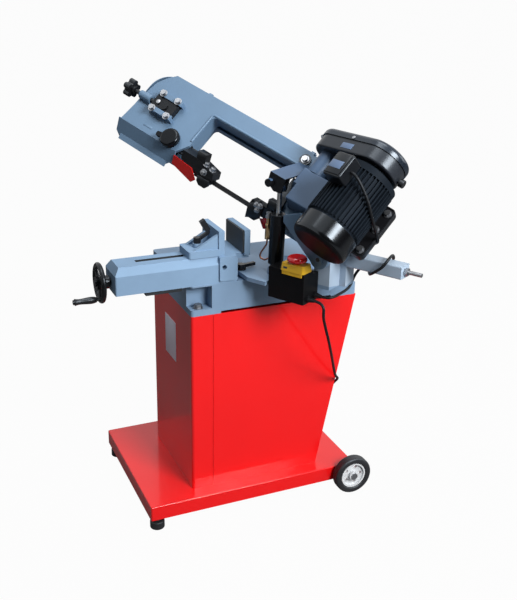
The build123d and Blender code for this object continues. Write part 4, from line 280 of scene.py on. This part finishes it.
def coating(name, colour, rough, peel, peel_scale=300, spread=0.04, cloud=18, coat=0.0, edge=0.0,
            shine=0.5):
    """A painted, moulded or rubber finish: clouded colour, uneven gloss, fine skin, and edges lightened for
    wear and as a painted highlight.
    """
    material = bpy.data.materials.new(name)
    material.use_nodes = True
    tree = material.node_tree
    shader = tree.nodes["Principled BSDF"]
    place = tree.nodes.new("ShaderNodeTexCoord")
    clouds = tree.nodes.new("ShaderNodeTexNoise")
    clouds.inputs["Scale"].default_value = cloud
    clouds.inputs["Detail"].default_value = 6
    tree.links.new(place.outputs["Object"], clouds.inputs["Vector"])
    tones = tree.nodes.new("ShaderNodeValToRGB")
    tones.color_ramp.elements[0].position = 0.3
    tones.color_ramp.elements[1].position = 0.7
    tones.color_ramp.elements[0].color = (*[max(0, part * (1 - spread)) for part in colour], 1)
    tones.color_ramp.elements[1].color = (*[min(1, part * (1 + spread)) for part in colour], 1)
    tree.links.new(clouds.outputs["Fac"], tones.inputs["Fac"])
    hue = tones.outputs["Color"]
    # Lightened edges: wear on the painted castings, and a painted highlight along the edges of the black
    # parts.
    if edge:
        normal = tree.nodes.new("ShaderNodeNewGeometry")
        rim = tree.nodes.new("ShaderNodeBevel")
        rim.samples = 4
        rim.inputs["Radius"].default_value = 0.0012
        lean = tree.nodes.new("ShaderNodeVectorMath")
        lean.operation = "DOT_PRODUCT"
        tree.links.new(normal.outputs["Normal"], lean.inputs[0])
        tree.links.new(rim.outputs["Normal"], lean.inputs[1])
        wear_and_sheen_mask = tree.nodes.new("ShaderNodeMapRange")
        wear_and_sheen_mask.inputs["From Min"].default_value = 0.97
        wear_and_sheen_mask.inputs["From Max"].default_value = 0.75
        wear_and_sheen_mask.inputs["To Max"].default_value = edge
        tree.links.new(lean.outputs["Value"], wear_and_sheen_mask.inputs["Value"])
        wear_and_sheen_share = tree.nodes.new("ShaderNodeMath")
        wear_and_sheen_share.operation = "MULTIPLY"
        tree.links.new(wear_and_sheen_mask.outputs["Result"], wear_and_sheen_share.inputs[0])
        tree.links.new(clouds.outputs["Fac"], wear_and_sheen_share.inputs[1])
        wear_and_sheen_mix = tree.nodes.new("ShaderNodeMix")
        wear_and_sheen_mix.data_type = "RGBA"
        wear_and_sheen_tone = [0.45 * part + 0.5 * max(colour) + 0.08 for part in colour]
        wear_and_sheen_mix.inputs["B"].default_value = (*wear_and_sheen_tone, 1)
        tree.links.new(wear_and_sheen_share.outputs[0], wear_and_sheen_mix.inputs["Factor"])
        tree.links.new(hue, wear_and_sheen_mix.inputs["A"])
        hue = wear_and_sheen_mix.outputs["Result"]
    tree.links.new(hue, shader.inputs["Base Color"])
    gloss = tree.nodes.new("ShaderNodeMapRange")
    gloss.inputs["To Min"].default_value = max(0.02, rough * 0.8)
    gloss.inputs["To Max"].default_value = min(1, rough * 1.2)
    tree.links.new(clouds.outputs["Fac"], gloss.inputs["Value"])
    tree.links.new(gloss.outputs["Result"], shader.inputs["Roughness"])
    shader.inputs["Specular IOR Level"].default_value = shine
    shader.inputs["Coat Weight"].default_value = coat
    shader.inputs["Coat Roughness"].default_value = 0.08
    # The bluish tint on the gloss is a painted reflection of a bluish room.
    shader.inputs["Specular Tint"].default_value = (0.8, 0.9, 1, 1)
    skin = tree.nodes.new("ShaderNodeTexNoise")
    skin.inputs["Scale"].default_value = peel_scale
    skin.inputs["Detail"].default_value = 3
    tree.links.new(place.outputs["Object"], skin.inputs["Vector"])
    bump = tree.nodes.new("ShaderNodeBump")
    bump.inputs["Strength"].default_value = peel
    bump.inputs["Distance"].default_value = 0.0004
    tree.links.new(skin.outputs["Fac"], bump.inputs["Height"])
    tree.links.new(bump.outputs["Normal"], shader.inputs["Normal"])
    return material


def dress(material, *names):
    """Gives the named pieces of the machine their finish."""
    for name in names:
        nodes[name].data.materials.clear()
        nodes[name].data.materials.append(material)


cord_rubber = coating("cord_rubber", (0.005, 0.005, 0.006), rough=0.45, peel=0.2, peel_scale=600, shine=0.3)
for cord in (mains_cord, motor_lead):
    cord.data.materials.clear()
    cord.data.materials.append(cord_rubber)
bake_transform(mains_cord)
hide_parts("mains_cord", "cord_coil")
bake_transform(motor_lead)
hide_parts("motor_lead")
dress(cord_rubber, "mains_plug", "cord_glands", "drive_belt")

# Tie of the mains cord's coil: an oval strap of the cord's own rubber, cut from a moulded band.
# It is pulled round the windings on the coil's left side and keeps them together.
TIE_RADIUS = 0.0108
TIE_OVAL = (1.28, 0.66, 1)
TIE_WIDE = 0.012
TIE_THICK = 0.0011


def fold(mesh, reach):
    """Draws the edges of a line out into a strip, as far as given."""
    strip = bmesh.ops.extrude_edge_only(mesh, edges=mesh.edges[:])["geom"]
    far_edge = [part for part in strip if isinstance(part, bmesh.types.BMVert)]
    bmesh.ops.translate(mesh, vec=reach, verts=far_edge)


def piece(name, mesh, body, material, soft=0.0):
    """Turns a finished shape into an object that rides on a body, with softened edges."""
    data = bpy.data.meshes.new(name)
    bmesh.ops.recalc_face_normals(mesh, faces=mesh.faces)
    if soft:
        sharp = [edge for edge in mesh.edges if edge.calc_face_angle(0) > math.radians(40)]
        bmesh.ops.bevel(mesh, geom=sharp, offset=soft, segments=2, affect="EDGES", profile=0.5, material=-1)
    mesh.to_mesh(data)
    mesh.free()
    for face in data.polygons:
        face.use_smooth = True
    data.set_sharp_from_angle(angle=math.radians(35))
    data.materials.append(material)
    made = bpy.data.objects.new(name, data)
    bpy.context.scene.collection.objects.link(made)
    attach(made, body)
    return made


tie_left = COIL_MIDDLE[0] - COIL_RADIUS + COIL_STEP
tie = bmesh.new()
tie_loop = bmesh.ops.create_circle(tie, segments=32, radius=TIE_RADIUS)["verts"]
bmesh.ops.scale(tie, vec=TIE_OVAL, verts=tie_loop)
fold(tie, (0, 0, TIE_WIDE))
bmesh.ops.solidify(tie, geom=tie.faces[:], thickness=TIE_THICK)
bmesh.ops.translate(tie, vec=(0, 0, -TIE_WIDE / 2), verts=tie.verts)
bmesh.ops.rotate(tie, cent=(0, 0, 0), matrix=upright, verts=tie.verts)
bmesh.ops.translate(tie, vec=stand(tie_left, COIL_MIDDLE[1], COIL_FLOOR + COIL_STEP / 2), verts=tie.verts)
coil_tie = piece("coil_tie", tie, "stand", cord_rubber)

# Stand: a folded tray and a sheet cabinet, sprayed with a glossy red powder coat.
# The left sheet turns in at the corners, and a flat panel closes the front between them.
red_coat = coating("red_coat", (0.81, 0.006, 0.007), rough=0.3, peel=0.05, peel_scale=420,
                   spread=0.02, cloud=5, coat=0.5, shine=0.25)
dress(red_coat, "stand_tray", "stand_cabinet")

# Bare plate on the cabinet: thin pale metal with rounded edges.
# It is glued flat on the left sheet, a hand's width below the bed.
CABINET_LEFT = 127
RIGHTWARD = Vector((1, 0, 0))
BACKWARD = Vector((0, 1, 0))


def set_on(mesh, verts, place, across, outward):
    """Moves a shape, drawn in millimetres round the z axis, onto a place with its top outward."""
    side = (across - outward * across.dot(outward)).normalized()
    turned = Matrix((side, outward.cross(side), outward)).transposed().to_4x4()
    moved = Matrix.Translation(place) @ turned @ Matrix.Scale(0.001, 4)
    bmesh.ops.transform(mesh, matrix=moved, verts=verts)


def slab(mesh, place, across, outward, length, width, height):
    """A flat block with the middle of its foot on a place."""
    made = bmesh.ops.create_cube(mesh, size=1)["verts"]
    bmesh.ops.scale(mesh, vec=(length, width, height), verts=made)
    bmesh.ops.translate(mesh, vec=(0, 0, height / 2), verts=made)
    set_on(mesh, made, place, across, outward)


plate_grey = coating("plate_grey", (0.78, 0.74, 0.86), rough=0.35, peel=0.05, peel_scale=700)
blank = bmesh.new()
slab(blank, stand(CABINET_LEFT, 204, 446), BACKWARD, -RIGHTWARD, length=85, width=110, height=0.8)
piece("cabinet_blank_plate", blank, "stand", plate_grey, soft=0.0003)

# Feet: turned pads of black rubber below the tray's left corners.
# Each is moulded on a steel stud that is screwed up into the tray.
foot_rubber = coating("foot_rubber", (0.012, 0.012, 0.013), rough=0.6, peel=0.3, peel_scale=500)
dress(foot_rubber, "stand_feet")

# Road wheels: black rubber tyres on bright pressed rims, turning on one steel axle.
# The axle goes through the tray's right end. It is zinc plated, as the machine's other bright parts are.
tyre_rubber = coating("tyre_rubber", (0.018, 0.018, 0.02), rough=0.45, peel=0.35, peel_scale=350, spread=0.2)
dress(tyre_rubber, "front_wheel_tyre", "rear_wheel_tyre")
rim_silver = coating("rim_silver", (0.66, 0.68, 0.70), rough=0.3, peel=0.1, peel_scale=300, coat=0.4)
dress(rim_silver, "front_wheel_rim", "rear_wheel_rim")


def bare_metal(name, colour, rough, grain):
    """Bright metal with fine drawn lines in its gloss and its skin."""
    material = bpy.data.materials.new(name)
    material.use_nodes = True
    tree = material.node_tree
    shader = tree.nodes["Principled BSDF"]
    shader.inputs["Metallic"].default_value = 1
    place = tree.nodes.new("ShaderNodeTexCoord")
    drawn = tree.nodes.new("ShaderNodeMapping")
    drawn.inputs["Scale"].default_value = (1, 1, 12)
    tree.links.new(place.outputs["Object"], drawn.inputs["Vector"])
    lines = tree.nodes.new("ShaderNodeTexNoise")
    lines.inputs["Scale"].default_value = grain
    lines.inputs["Detail"].default_value = 4
    tree.links.new(drawn.outputs["Vector"], lines.inputs["Vector"])
    tones = tree.nodes.new("ShaderNodeValToRGB")
    tones.color_ramp.elements[0].position = 0.3
    tones.color_ramp.elements[1].position = 0.75
    tones.color_ramp.elements[0].color = (*[part * 0.82 for part in colour], 1)
    tones.color_ramp.elements[1].color = (*colour, 1)
    tree.links.new(lines.outputs["Fac"], tones.inputs["Fac"])
    tree.links.new(tones.outputs["Color"], shader.inputs["Base Color"])
    gloss = tree.nodes.new("ShaderNodeMapRange")
    gloss.inputs["To Min"].default_value = rough * 0.75
    gloss.inputs["To Max"].default_value = rough * 1.25
    tree.links.new(lines.outputs["Fac"], gloss.inputs["Value"])
    tree.links.new(gloss.outputs["Result"], shader.inputs["Roughness"])
    bump = tree.nodes.new("ShaderNodeBump")
    bump.inputs["Strength"].default_value = 0.06
    bump.inputs["Distance"].default_value = 0.0002
    tree.links.new(lines.outputs["Fac"], bump.inputs["Height"])
    tree.links.new(bump.outputs["Normal"], shader.inputs["Normal"])
    return material


zinc = bare_metal("zinc", (0.40, 0.42, 0.45), rough=0.36, grain=160)
dress(zinc, "wheel_axle", "bow_bolts", "valve_knob", "spring_adjuster")

# Frame bolts: hexagon heads on washers, of plain steel that has dulled.
# They hold the bed down on the stand.
bolt_steel = bare_metal("bolt_steel", (0.28, 0.30, 0.33), rough=0.5, grain=160)
dress(bolt_steel, "frame_bolts")

# Bed, vise and jaws: iron castings with a satin blue-grey paint over their rough skin; the bed's copy of the
# paint is darker, as painted shade.
# The vise's hollow and the slot in its roof are near black, as painted shade, and a thin near-black block
# below the vise is the painted shade under it.
# The bed is bolted to the stand, the vise and the fixed jaw to the bed.
# The bed's paint is the vise's blue-grey made darker: painted shade.
shaded_bed_paint = coating("shaded_bed_paint", (0.19, 0.29, 0.425), rough=0.5, peel=0.35, peel_scale=190,
                    spread=0.05, cloud=14, edge=0.5)
dress(shaded_bed_paint, "bed")
vise_paint = coating("vise_paint", (0.215, 0.33, 0.48), rough=0.6, peel=0.3, peel_scale=190,
                     spread=0.05, cloud=14, edge=0.5, shine=0.2)
dress(vise_paint, "vise_body", "fixed_jaw", "movable_jaw")
VISE_MIDDLE = 88
HOLLOW_HALF = 31
HOLLOW_LEFT = -46
HOLLOW_RIGHT = 196
HOLLOW_LOW = 644
HOLLOW_HIGH = 708.9
# Near-black finish: painted shade in recesses and under parts.
painted_shade_black = coating("painted_shade_black", (0.022, 0.024, 0.027), rough=0.55, peel=0.5, peel_scale=240, spread=0.2)
vise_mesh = nodes["vise_body"].data
vise_mesh.materials.append(painted_shade_black)
for face in vise_mesh.polygons:
    at = (face.center + ORIGIN) * 1000
    within = HOLLOW_LEFT < at.x < HOLLOW_RIGHT and HOLLOW_LOW < at.z < HOLLOW_HIGH
    if within and abs(at.y - VISE_MIDDLE) < HOLLOW_HALF:
        face.material_index = 1
VISE_FOOT = 643
# A dark block below the vise: painted shade under the vise.
underside_shade = bmesh.new()
slab(underside_shade, stand(62, 70, VISE_FOOT), RIGHTWARD, -UP, length=90, width=40, height=11)
piece("vise_underside_shade", underside_shade, "stand", painted_shade_black, soft=0.001)

# Plate of the fixed jaw: hardened steel, ground flat and left without paint.
# It is screwed to the jaw's face, where the work is pressed.
plate_steel = bare_metal("plate_steel", (0.10, 0.11, 0.12), rough=0.5, grain=120)
dress(plate_steel, "jaw_plate")

# Handwheel of the vise: black enamelled iron, keyed on the lead screw.
# Its plastic crank handle turns on a stud. Cylinder, slide and swivel lever have the same enamel.
black_enamel = coating("black_enamel", (0.005, 0.005, 0.006), rough=0.26, peel=0.1, peel_scale=260,
                       spread=0.2, edge=0.25, shine=0.3)
dress(black_enamel, "handwheel", "lift_cylinder", "slide_block", "swivel_lever")
black_plastic = coating("black_plastic", (0.006, 0.006, 0.007), rough=0.38, peel=0.15, peel_scale=900,
                        spread=0.15)
dress(black_plastic, "crank_handle", "lock_lever", "tension_knob", "belt_knob")

# Swivel: an iron plate with the hinge post and the spring's box beam, cast in one piece.
# Post and beam are a paler grey-blue. The plate has the bed's darker copy of the paint, which is painted
# shade, and turns on a bolt in the bed.
post_paint = coating("post_paint", (0.34, 0.43, 0.54), rough=0.45, peel=0.25, peel_scale=200,
                     spread=0.05, cloud=14, edge=0.4)
dress(post_paint, "swivel_base")
PLATE_TOP = 658.5
swivel_mesh = nodes["swivel_base"].data
swivel_mesh.materials.append(shaded_bed_paint)
for face in swivel_mesh.polygons:
    if face.center.z * 1000 < PLATE_TOP:
        face.material_index = 1
dark_steel = bare_metal("dark_steel", (0.16, 0.16, 0.17), rough=0.4, grain=150)
dress(dark_steel, "counter_spring", "worm_shaft", "motor_rotor")

# Switch box: a folded black sheet case. On its lid edge sits a yellow switch with a red button.
# The switch is moulded plastic. Its cover has a finger notch in its front, and a thin dark patch there is
# the notch's painted shade.
box_paint = coating("box_paint", (0.003, 0.003, 0.0035), rough=0.35, peel=0.12, peel_scale=380,
                    spread=0.15, edge=0.35, shine=0.15)
dress(box_paint, "switch_box")
switch_yellow = coating("switch_yellow", (0.75, 0.44, 0.02), rough=0.3, peel=0.05, peel_scale=800)
dress(switch_yellow, "switch_body")
button_red = coating("button_red", (0.68, 0.012, 0.014), rough=0.2, peel=0.03, peel_scale=800, coat=0.4)
dress(button_red, "stop_button")
switch_front = (FORWARD * 0.985 + UP * 0.174).normalized()
# A thin dark patch on the switch cover: the painted shade of its finger notch.
finger_shade = bmesh.new()
slab(finger_shade, swing(246, 87.4, 706), REACH, switch_front, length=11, width=5, height=0.5)
piece("switch_finger_shade", finger_shade, "swivel", painted_shade_black, soft=0.0002)

# Lift cylinder: a chromed rod, and a brass valve with a copper pipe down to the cylinder's foot.
# Two union nuts hold the valve together. Cylinder and valve swing on a pin in the swivel.
chrome = bare_metal("chrome", (0.72, 0.74, 0.77), rough=0.14, grain=200)
dress(chrome, "lift_rod")
valve_brass = bare_metal("valve_brass", (0.62, 0.44, 0.24), rough=0.32, grain=140)
dress(valve_brass, "flow_valve", "worm_wheel")
copper = bare_metal("copper", (0.50, 0.21, 0.13), rough=0.3, grain=140)
VALVE_FOOT = 742
VALVE_SIDE = 28.5
valve_mesh = nodes["flow_valve"].data
valve_mesh.materials.append(copper)
for face in valve_mesh.polygons:
    if face.center.z * 1000 < VALVE_FOOT:
        face.material_index = 1
lift_foot = swing(174, 25, 668)
lift_eye = swing(182, 25, 876)
lift_line = (lift_eye - lift_foot).normalized()
valve_line = lift_foot - lift_line.cross(FORWARD) * VALVE_SIDE / 1000


def slug(mesh, place, across, outward, radius, height, sides=24):
    """A round or many-sided slug with the middle of its foot on a place."""
    made = bmesh.ops.create_cone(mesh, cap_ends=True, segments=sides, radius1=radius, radius2=radius,
                                 depth=height)["verts"]
    bmesh.ops.translate(mesh, vec=(0, 0, height / 2), verts=made)
    set_on(mesh, made, place, across, outward)


union_nuts = bmesh.new()
for along in (72, 104):
    nut_place = valve_line + lift_line * along / 1000
    slug(union_nuts, nut_place, FORWARD, lift_line, radius=7.6, height=7, sides=6)
piece("valve_union_nuts", union_nuts, "cylinder", valve_brass, soft=0.0005)

# Bow: one long iron casting with its sheet blade cover, painted a middle blue-grey.
# A round bead is cast along the edge of its throat, and a short raised bar on its nose.
bow_paint = coating("bow_paint", (0.126, 0.212, 0.325), rough=0.42, peel=0.22, peel_scale=200,
                    spread=0.05, cloud=12, edge=0.5)
dress(bow_paint, "bow_casting", "blade_cover", "slide_keepers", "pivot_pins")
BOW_FACE = 28
BEAD_WIDE = 0.0066
bead_route = [
    bow(182, -150, BOW_FACE), bow(330, -150, BOW_FACE), bow(466, -150, BOW_FACE), bow(482, -150, BOW_FACE),
    bow(482, -134, BOW_FACE), bow(482, -90, BOW_FACE), bow(482, -58, BOW_FACE),
]
bead = flex("throat_bead", bead_route, BEAD_WIDE)[0]
bead.data.materials.append(bow_paint)
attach(bead, "bow")
bar = bmesh.new()
slab(bar, bow(617, -32, BOW_FACE), ALONG, OUT, length=30, width=6, height=1.2)
piece("nose_raised_bar", bar, "bow", bow_paint, soft=0.0005)

# Bolt of the tension slide: a bright domed head in the middle of the black slide block.
# It is the end of the idler wheel's axle, and moves with the slide.
slide_head = bmesh.new()
slug(slide_head, bow(629, -99, 44), ALONG, OUT, radius=6.5, height=5)
piece("slide_bolt", slide_head, "slide", zinc, soft=0.002)

# Gearbox: a cast iron housing in a deeper blue, which is the bow's paint darkened as painted shade, with a
# neck up to the belt case.
# It holds the worm drive and is bolted on the drive end of the bow's face.
# A darker copy of the bow's blue: painted shade on the gearbox, and a painted sheen on the lift bracket's
# level top.
blue_shade_and_sheen = coating("blue_shade_and_sheen", (0.06, 0.105, 0.185), rough=0.4, peel=0.15, peel_scale=200,
                        cloud=12, edge=0.4, shine=0.3)
dress(blue_shade_and_sheen, "gearbox_housing")

# Blade: a welded band of dark spring steel round two wheels of raw cast iron.
# Along the run below the bow its lower edge is ground to points.
blade_steel = bare_metal("blade_steel", (0.10, 0.10, 0.105), rough=0.4, grain=120)
dress(blade_steel, "blade")
wheel_iron = coating("wheel_iron", (0.16, 0.16, 0.17), rough=0.5, peel=0.4, peel_scale=240)
dress(wheel_iron, "idler_wheel", "drive_wheel")
TOOTH_PITCH = 3.2
TOOTH_COUNT = 100
TOOTH_START = 180
TOOTH_LEAN = 0.5
TOOTH_ROOT = 3.5
TOOTH_TIP = 5.0
BLADE_THICK = 0.9
BLADE_BACK = -3.28


def leaf(u, p, f):
    """A place by the blade: along the bow, down square to it, and towards the front side."""
    return HINGE + (ALONG * u + PLUMB * p + FORWARD * f) / 1000


def cut_plate(mesh, corners, thickness):
    """A flat plate with the given corners, thickened towards the front side."""
    outline = mesh.faces.new([mesh.verts.new(corner) for corner in corners])
    raised = bmesh.ops.extrude_face_region(mesh, geom=[outline])["geom"]
    tops = [part for part in raised if isinstance(part, bmesh.types.BMVert)]
    bmesh.ops.translate(mesh, vec=FORWARD * thickness / 1000, verts=tops)
    bmesh.ops.holes_fill(mesh, edges=[edge for edge in mesh.edges if edge.is_boundary])


teeth = bmesh.new()
for tooth in range(TOOTH_COUNT):
    heel = TOOTH_START + tooth * TOOTH_PITCH
    tooth_corners = [
        leaf(heel, TOOTH_ROOT, BLADE_BACK), leaf(heel + TOOTH_PITCH, TOOTH_ROOT, BLADE_BACK),
        leaf(heel + TOOTH_LEAN, TOOTH_TIP, BLADE_BACK),
    ]
    cut_plate(teeth, tooth_corners, BLADE_THICK)
piece("blade_teeth", teeth, "bow", blade_steel)

# Blade guides: black castings with wear pads, which bright bolts hold against the blade.
# A cheek plate hangs in front of each, and a red sheet guards the blade beside them.
# The left guide is clamped on a bar behind the nose, the right one bolted to the bow.
guide_black = coating("guide_black", (0.005, 0.005, 0.006), rough=0.3, peel=0.15, peel_scale=300,
                      spread=0.2, edge=0.3)
dress(guide_black, "guide_arm", "right_guide", "lift_bracket", "motor_plate")
guard_red = coating("guard_red", (0.50, 0.012, 0.010), rough=0.25, coat=0.5, peel=0.05, peel_scale=500)
dress(guard_red, "blade_guard")
knob_gloss = coating("knob_gloss", (0.003, 0.003, 0.004), rough=0.16, peel=0.03, peel_scale=500,
                     spread=0.2, shine=0.25)
dress(knob_gloss, "guide_knob")
ABOVE = -PLUMB
HEAD_SLOPE = (ABOVE * 0.969 - ALONG * 0.246).normalized()


def hex_bolt(mesh, place, across, outward, width):
    """A hexagon head on its washer, as wide across its corners as given."""
    slug(mesh, place, across, outward, radius=0.66 * width, height=0.12 * width)
    head_foot = place + outward * 0.00011 * width
    slug(mesh, head_foot, across, outward, radius=width / 2, height=0.55 * width, sides=6)


LEFT_CHEEK = 8.8
left_head = bmesh.new()
slab(left_head, leaf(417, -40, 0), ALONG, ABOVE, length=30, width=22, height=26)
left_cheek = [(412, -8), (412, 8), (402, 17), (382, 17), (372, 6), (372, -8)]
cut_plate(left_head, [leaf(u, p, LEFT_CHEEK) for u, p in left_cheek], thickness=7)
piece("left_guide_head", left_head, "guide", guide_black, soft=0.0012)
left_bolts = bmesh.new()
hex_bolt(left_bolts, leaf(400, -38.2, 5), ALONG, HEAD_SLOPE, width=14)
hex_bolt(left_bolts, leaf(379, -32.8, 3), ALONG, HEAD_SLOPE, width=14)
hex_bolt(left_bolts, leaf(396, -22, 12), ALONG, FORWARD, width=14)
piece("left_guide_bolts", left_bolts, "guide", zinc, soft=0.0004)

RIGHT_CHEEK = 6.8
RIGHT_CHEEK_THICK = 8
RIGHT_GUARD = 7.2
right_head = bmesh.new()
slab(right_head, leaf(182, -27, -2), ALONG, ABOVE, length=28, width=18, height=24)
right_cheek = [(242, 24), (244, -8), (238, -18), (214, -38), (203, -28), (203, 8), (214, 19), (232, 19)]
cut_plate(right_head, [leaf(u, p, RIGHT_CHEEK) for u, p in right_cheek], RIGHT_CHEEK_THICK)
piece("right_guide_head", right_head, "bow", guide_black, soft=0.0012)
right_bolts = bmesh.new()
for u, p in ((219, -24), (207, -26), (213, -12)):
    hex_bolt(right_bolts, leaf(u, p, RIGHT_CHEEK + RIGHT_CHEEK_THICK), ALONG, FORWARD, width=11)
piece("right_guide_bolts", right_bolts, "bow", zinc, soft=0.0004)
right_guard = bmesh.new()
guard_corners = [(204, 8), (180, -4), (177, 24), (185, 28)]
cut_plate(right_guard, [leaf(u, p, RIGHT_GUARD) for u, p in guard_corners], thickness=2)
piece("right_blade_guard", right_guard, "bow", guard_red, soft=0.0004)

# Lift bracket: a folded steel channel, bolted on the bow's face, that the lift rod holds up.
# Its level top has the gearbox's deeper blue as a painted sheen on its black finish, and its cheeks are
# black.
LEVEL_FACE = 0.8
# Faces turned upward get the lighter blue: a painted sheen.
bracket_mesh = nodes["lift_bracket"].data
bracket_mesh.materials.append(blue_shade_and_sheen)
for face in bracket_mesh.polygons:
    if face.normal.dot(ABOVE) > LEVEL_FACE:
        face.material_index = 1

# Hinge pin of the bow: a turned steel pin through the swivel's post, painted over.
# Its head has a six-sided socket for the key; a thin dark hexagon on the head is the socket's painted shade.
# A thin dark hexagon: painted shade inside the key socket.
key_shade = bmesh.new()
slug(key_shade, swing(307, 43.3, 726), UP, FORWARD, radius=5.5, height=0.4, sides=6)
piece("hinge_pin_key_shade", key_shade, "swivel", painted_shade_black)

# Motor and fan cover: black enamel over a ribbed casting and a drawn steel cap.
# The cap is glossy outside. Its grille and its inside are matt.
# The motor's bluish black is a painted reflection of a bluish room.
motor_black = coating("motor_black", (0.010, 0.014, 0.020), rough=0.55, peel=0.25, peel_scale=260,
                      spread=0.2, shine=0.04)
dress(motor_black, "motor_body")
fan_black = coating("fan_black", (0.002, 0.002, 0.0025), rough=0.2, peel=0.04, peel_scale=400,
                    spread=0.2, shine=0.5)
dress(fan_black, "fan_cover")
grille_black = coating("grille_black", (0.003, 0.003, 0.0035), rough=0.5, peel=0.1, peel_scale=400,
                       shine=0.12)
DOWN_FACE = 0.5
fan_mesh = nodes["fan_cover"].data
fan_mesh.materials.append(grille_black)
for face in fan_mesh.polygons:
    inside = face.normal.dot(face.center - motor_axis) < 0
    if face.normal.dot(SLOPE) > DOWN_FACE or inside:
        face.material_index = 1

# Motor plate: pressed steel with its free edges folded down all round, painted black.
# The motor is bolted on it, and spacers carry it on the bow's face.
# Its strongly lightened edges are a painted highlight along the plate's rim and the terminal box and lid,
# and its bluish black is a painted reflection.
terminal_black = coating("terminal_black", (0.006, 0.007, 0.009), rough=0.3, peel=0.1, peel_scale=300,
                         spread=0.15, edge=0.9, shine=0.35)
RIM_TOP = 47.5
RIM_DEPTH = 20
RIM_THICK = 0.0026
RIM_CORNER = 9.2
CORNER_STEPS = 4
rim_line = [bow(-20, -162.2, RIM_TOP)]
for corner_u, corner_d, start in ((-78, -153, 270), (-78, -34, 180)):
    for step in range(CORNER_STEPS + 1):
        angle = math.radians(start - 90 * step / CORNER_STEPS)
        round_u = corner_u + RIM_CORNER * math.cos(angle)
        round_d = corner_d + RIM_CORNER * math.sin(angle)
        rim_line.append(bow(round_u, round_d, RIM_TOP))
rim_line.append(bow(-30, -24.8, RIM_TOP))
plate_rim = bmesh.new()
rim_knots = [plate_rim.verts.new(knot) for knot in rim_line]
for knot, after in zip(rim_knots, rim_knots[1:]):
    plate_rim.edges.new((knot, after))
fold(plate_rim, OUT * -RIM_DEPTH / 1000)
bmesh.ops.solidify(plate_rim, geom=plate_rim.faces[:], thickness=RIM_THICK)
piece("motor_plate_rim", plate_rim, "bow", terminal_black, soft=0.0006)

# Terminal box: a black cast case on the motor's flank, with a lid screwed on it.
# A bare metal plate is glued on the lid.
dress(terminal_black, "terminal_box")
BOX_HIGH = 0.104
LID_THICK = 2.5
box_top = motor_axis + terminal_out * BOX_HIGH
lid = bmesh.new()
slab(lid, box_top - SLOPE * 0.130, SLOPE, terminal_out, length=54, width=44, height=LID_THICK)
piece("terminal_lid", lid, "bow", terminal_black, soft=0.0008)
plate_blue = coating("plate_blue", (0.11, 0.17, 0.29), rough=0.3, peel=0.05, peel_scale=700)
lid_top = box_top + terminal_out * LID_THICK / 1000
blank = bmesh.new()
slab(blank, lid_top - SLOPE * 0.127 - terminal_side * 0.003, SLOPE, terminal_out,
     length=20, width=36, height=0.6)
piece("terminal_blank_plate", blank, "bow", plate_blue, soft=0.0002)

# Belt case: a pan and a lid of pressed steel, black. The lid is hinged on the pan.
# A bright screw holds the lid, and a bare metal plate is glued on the pan's side.
# The lid's bluish black is a painted reflection of a bluish room, and its lightened edges are a painted
# highlight along the seam.
lid_black = coating("lid_black", (0.010, 0.015, 0.024), rough=0.24, peel=0.08, peel_scale=320,
                    spread=0.15, edge=0.6)
dress(lid_black, "belt_lid")
# The pan's black is lighter than the lid's, as painted light on its shaded side, and its blue tint is a
# painted reflection.
pan_black = coating("pan_black", (0.018, 0.021, 0.027), rough=0.3, peel=0.1, peel_scale=320,
                    spread=0.15, edge=0.35, shine=0.4)
dress(pan_black, "belt_pan")
CASE_SIDE = (ALONG * 0.437 + OUT * 0.8995).normalized()
CASE_RUN = (OUT * 0.437 - ALONG * 0.8995).normalized()
lid_screw = bmesh.new()
slug(lid_screw, bow(67, -229.5, 148.7), CASE_RUN, CASE_SIDE, radius=4.2, height=2.4)
piece("belt_lid_screw", lid_screw, "belt_cover", zinc, soft=0.0008)
blank = bmesh.new()
slab(blank, bow(70, -206, 143.9), CASE_RUN, CASE_SIDE, length=38, width=15, height=0.8)
piece("belt_pan_blank_plate", blank, "bow", plate_blue, soft=0.0003)
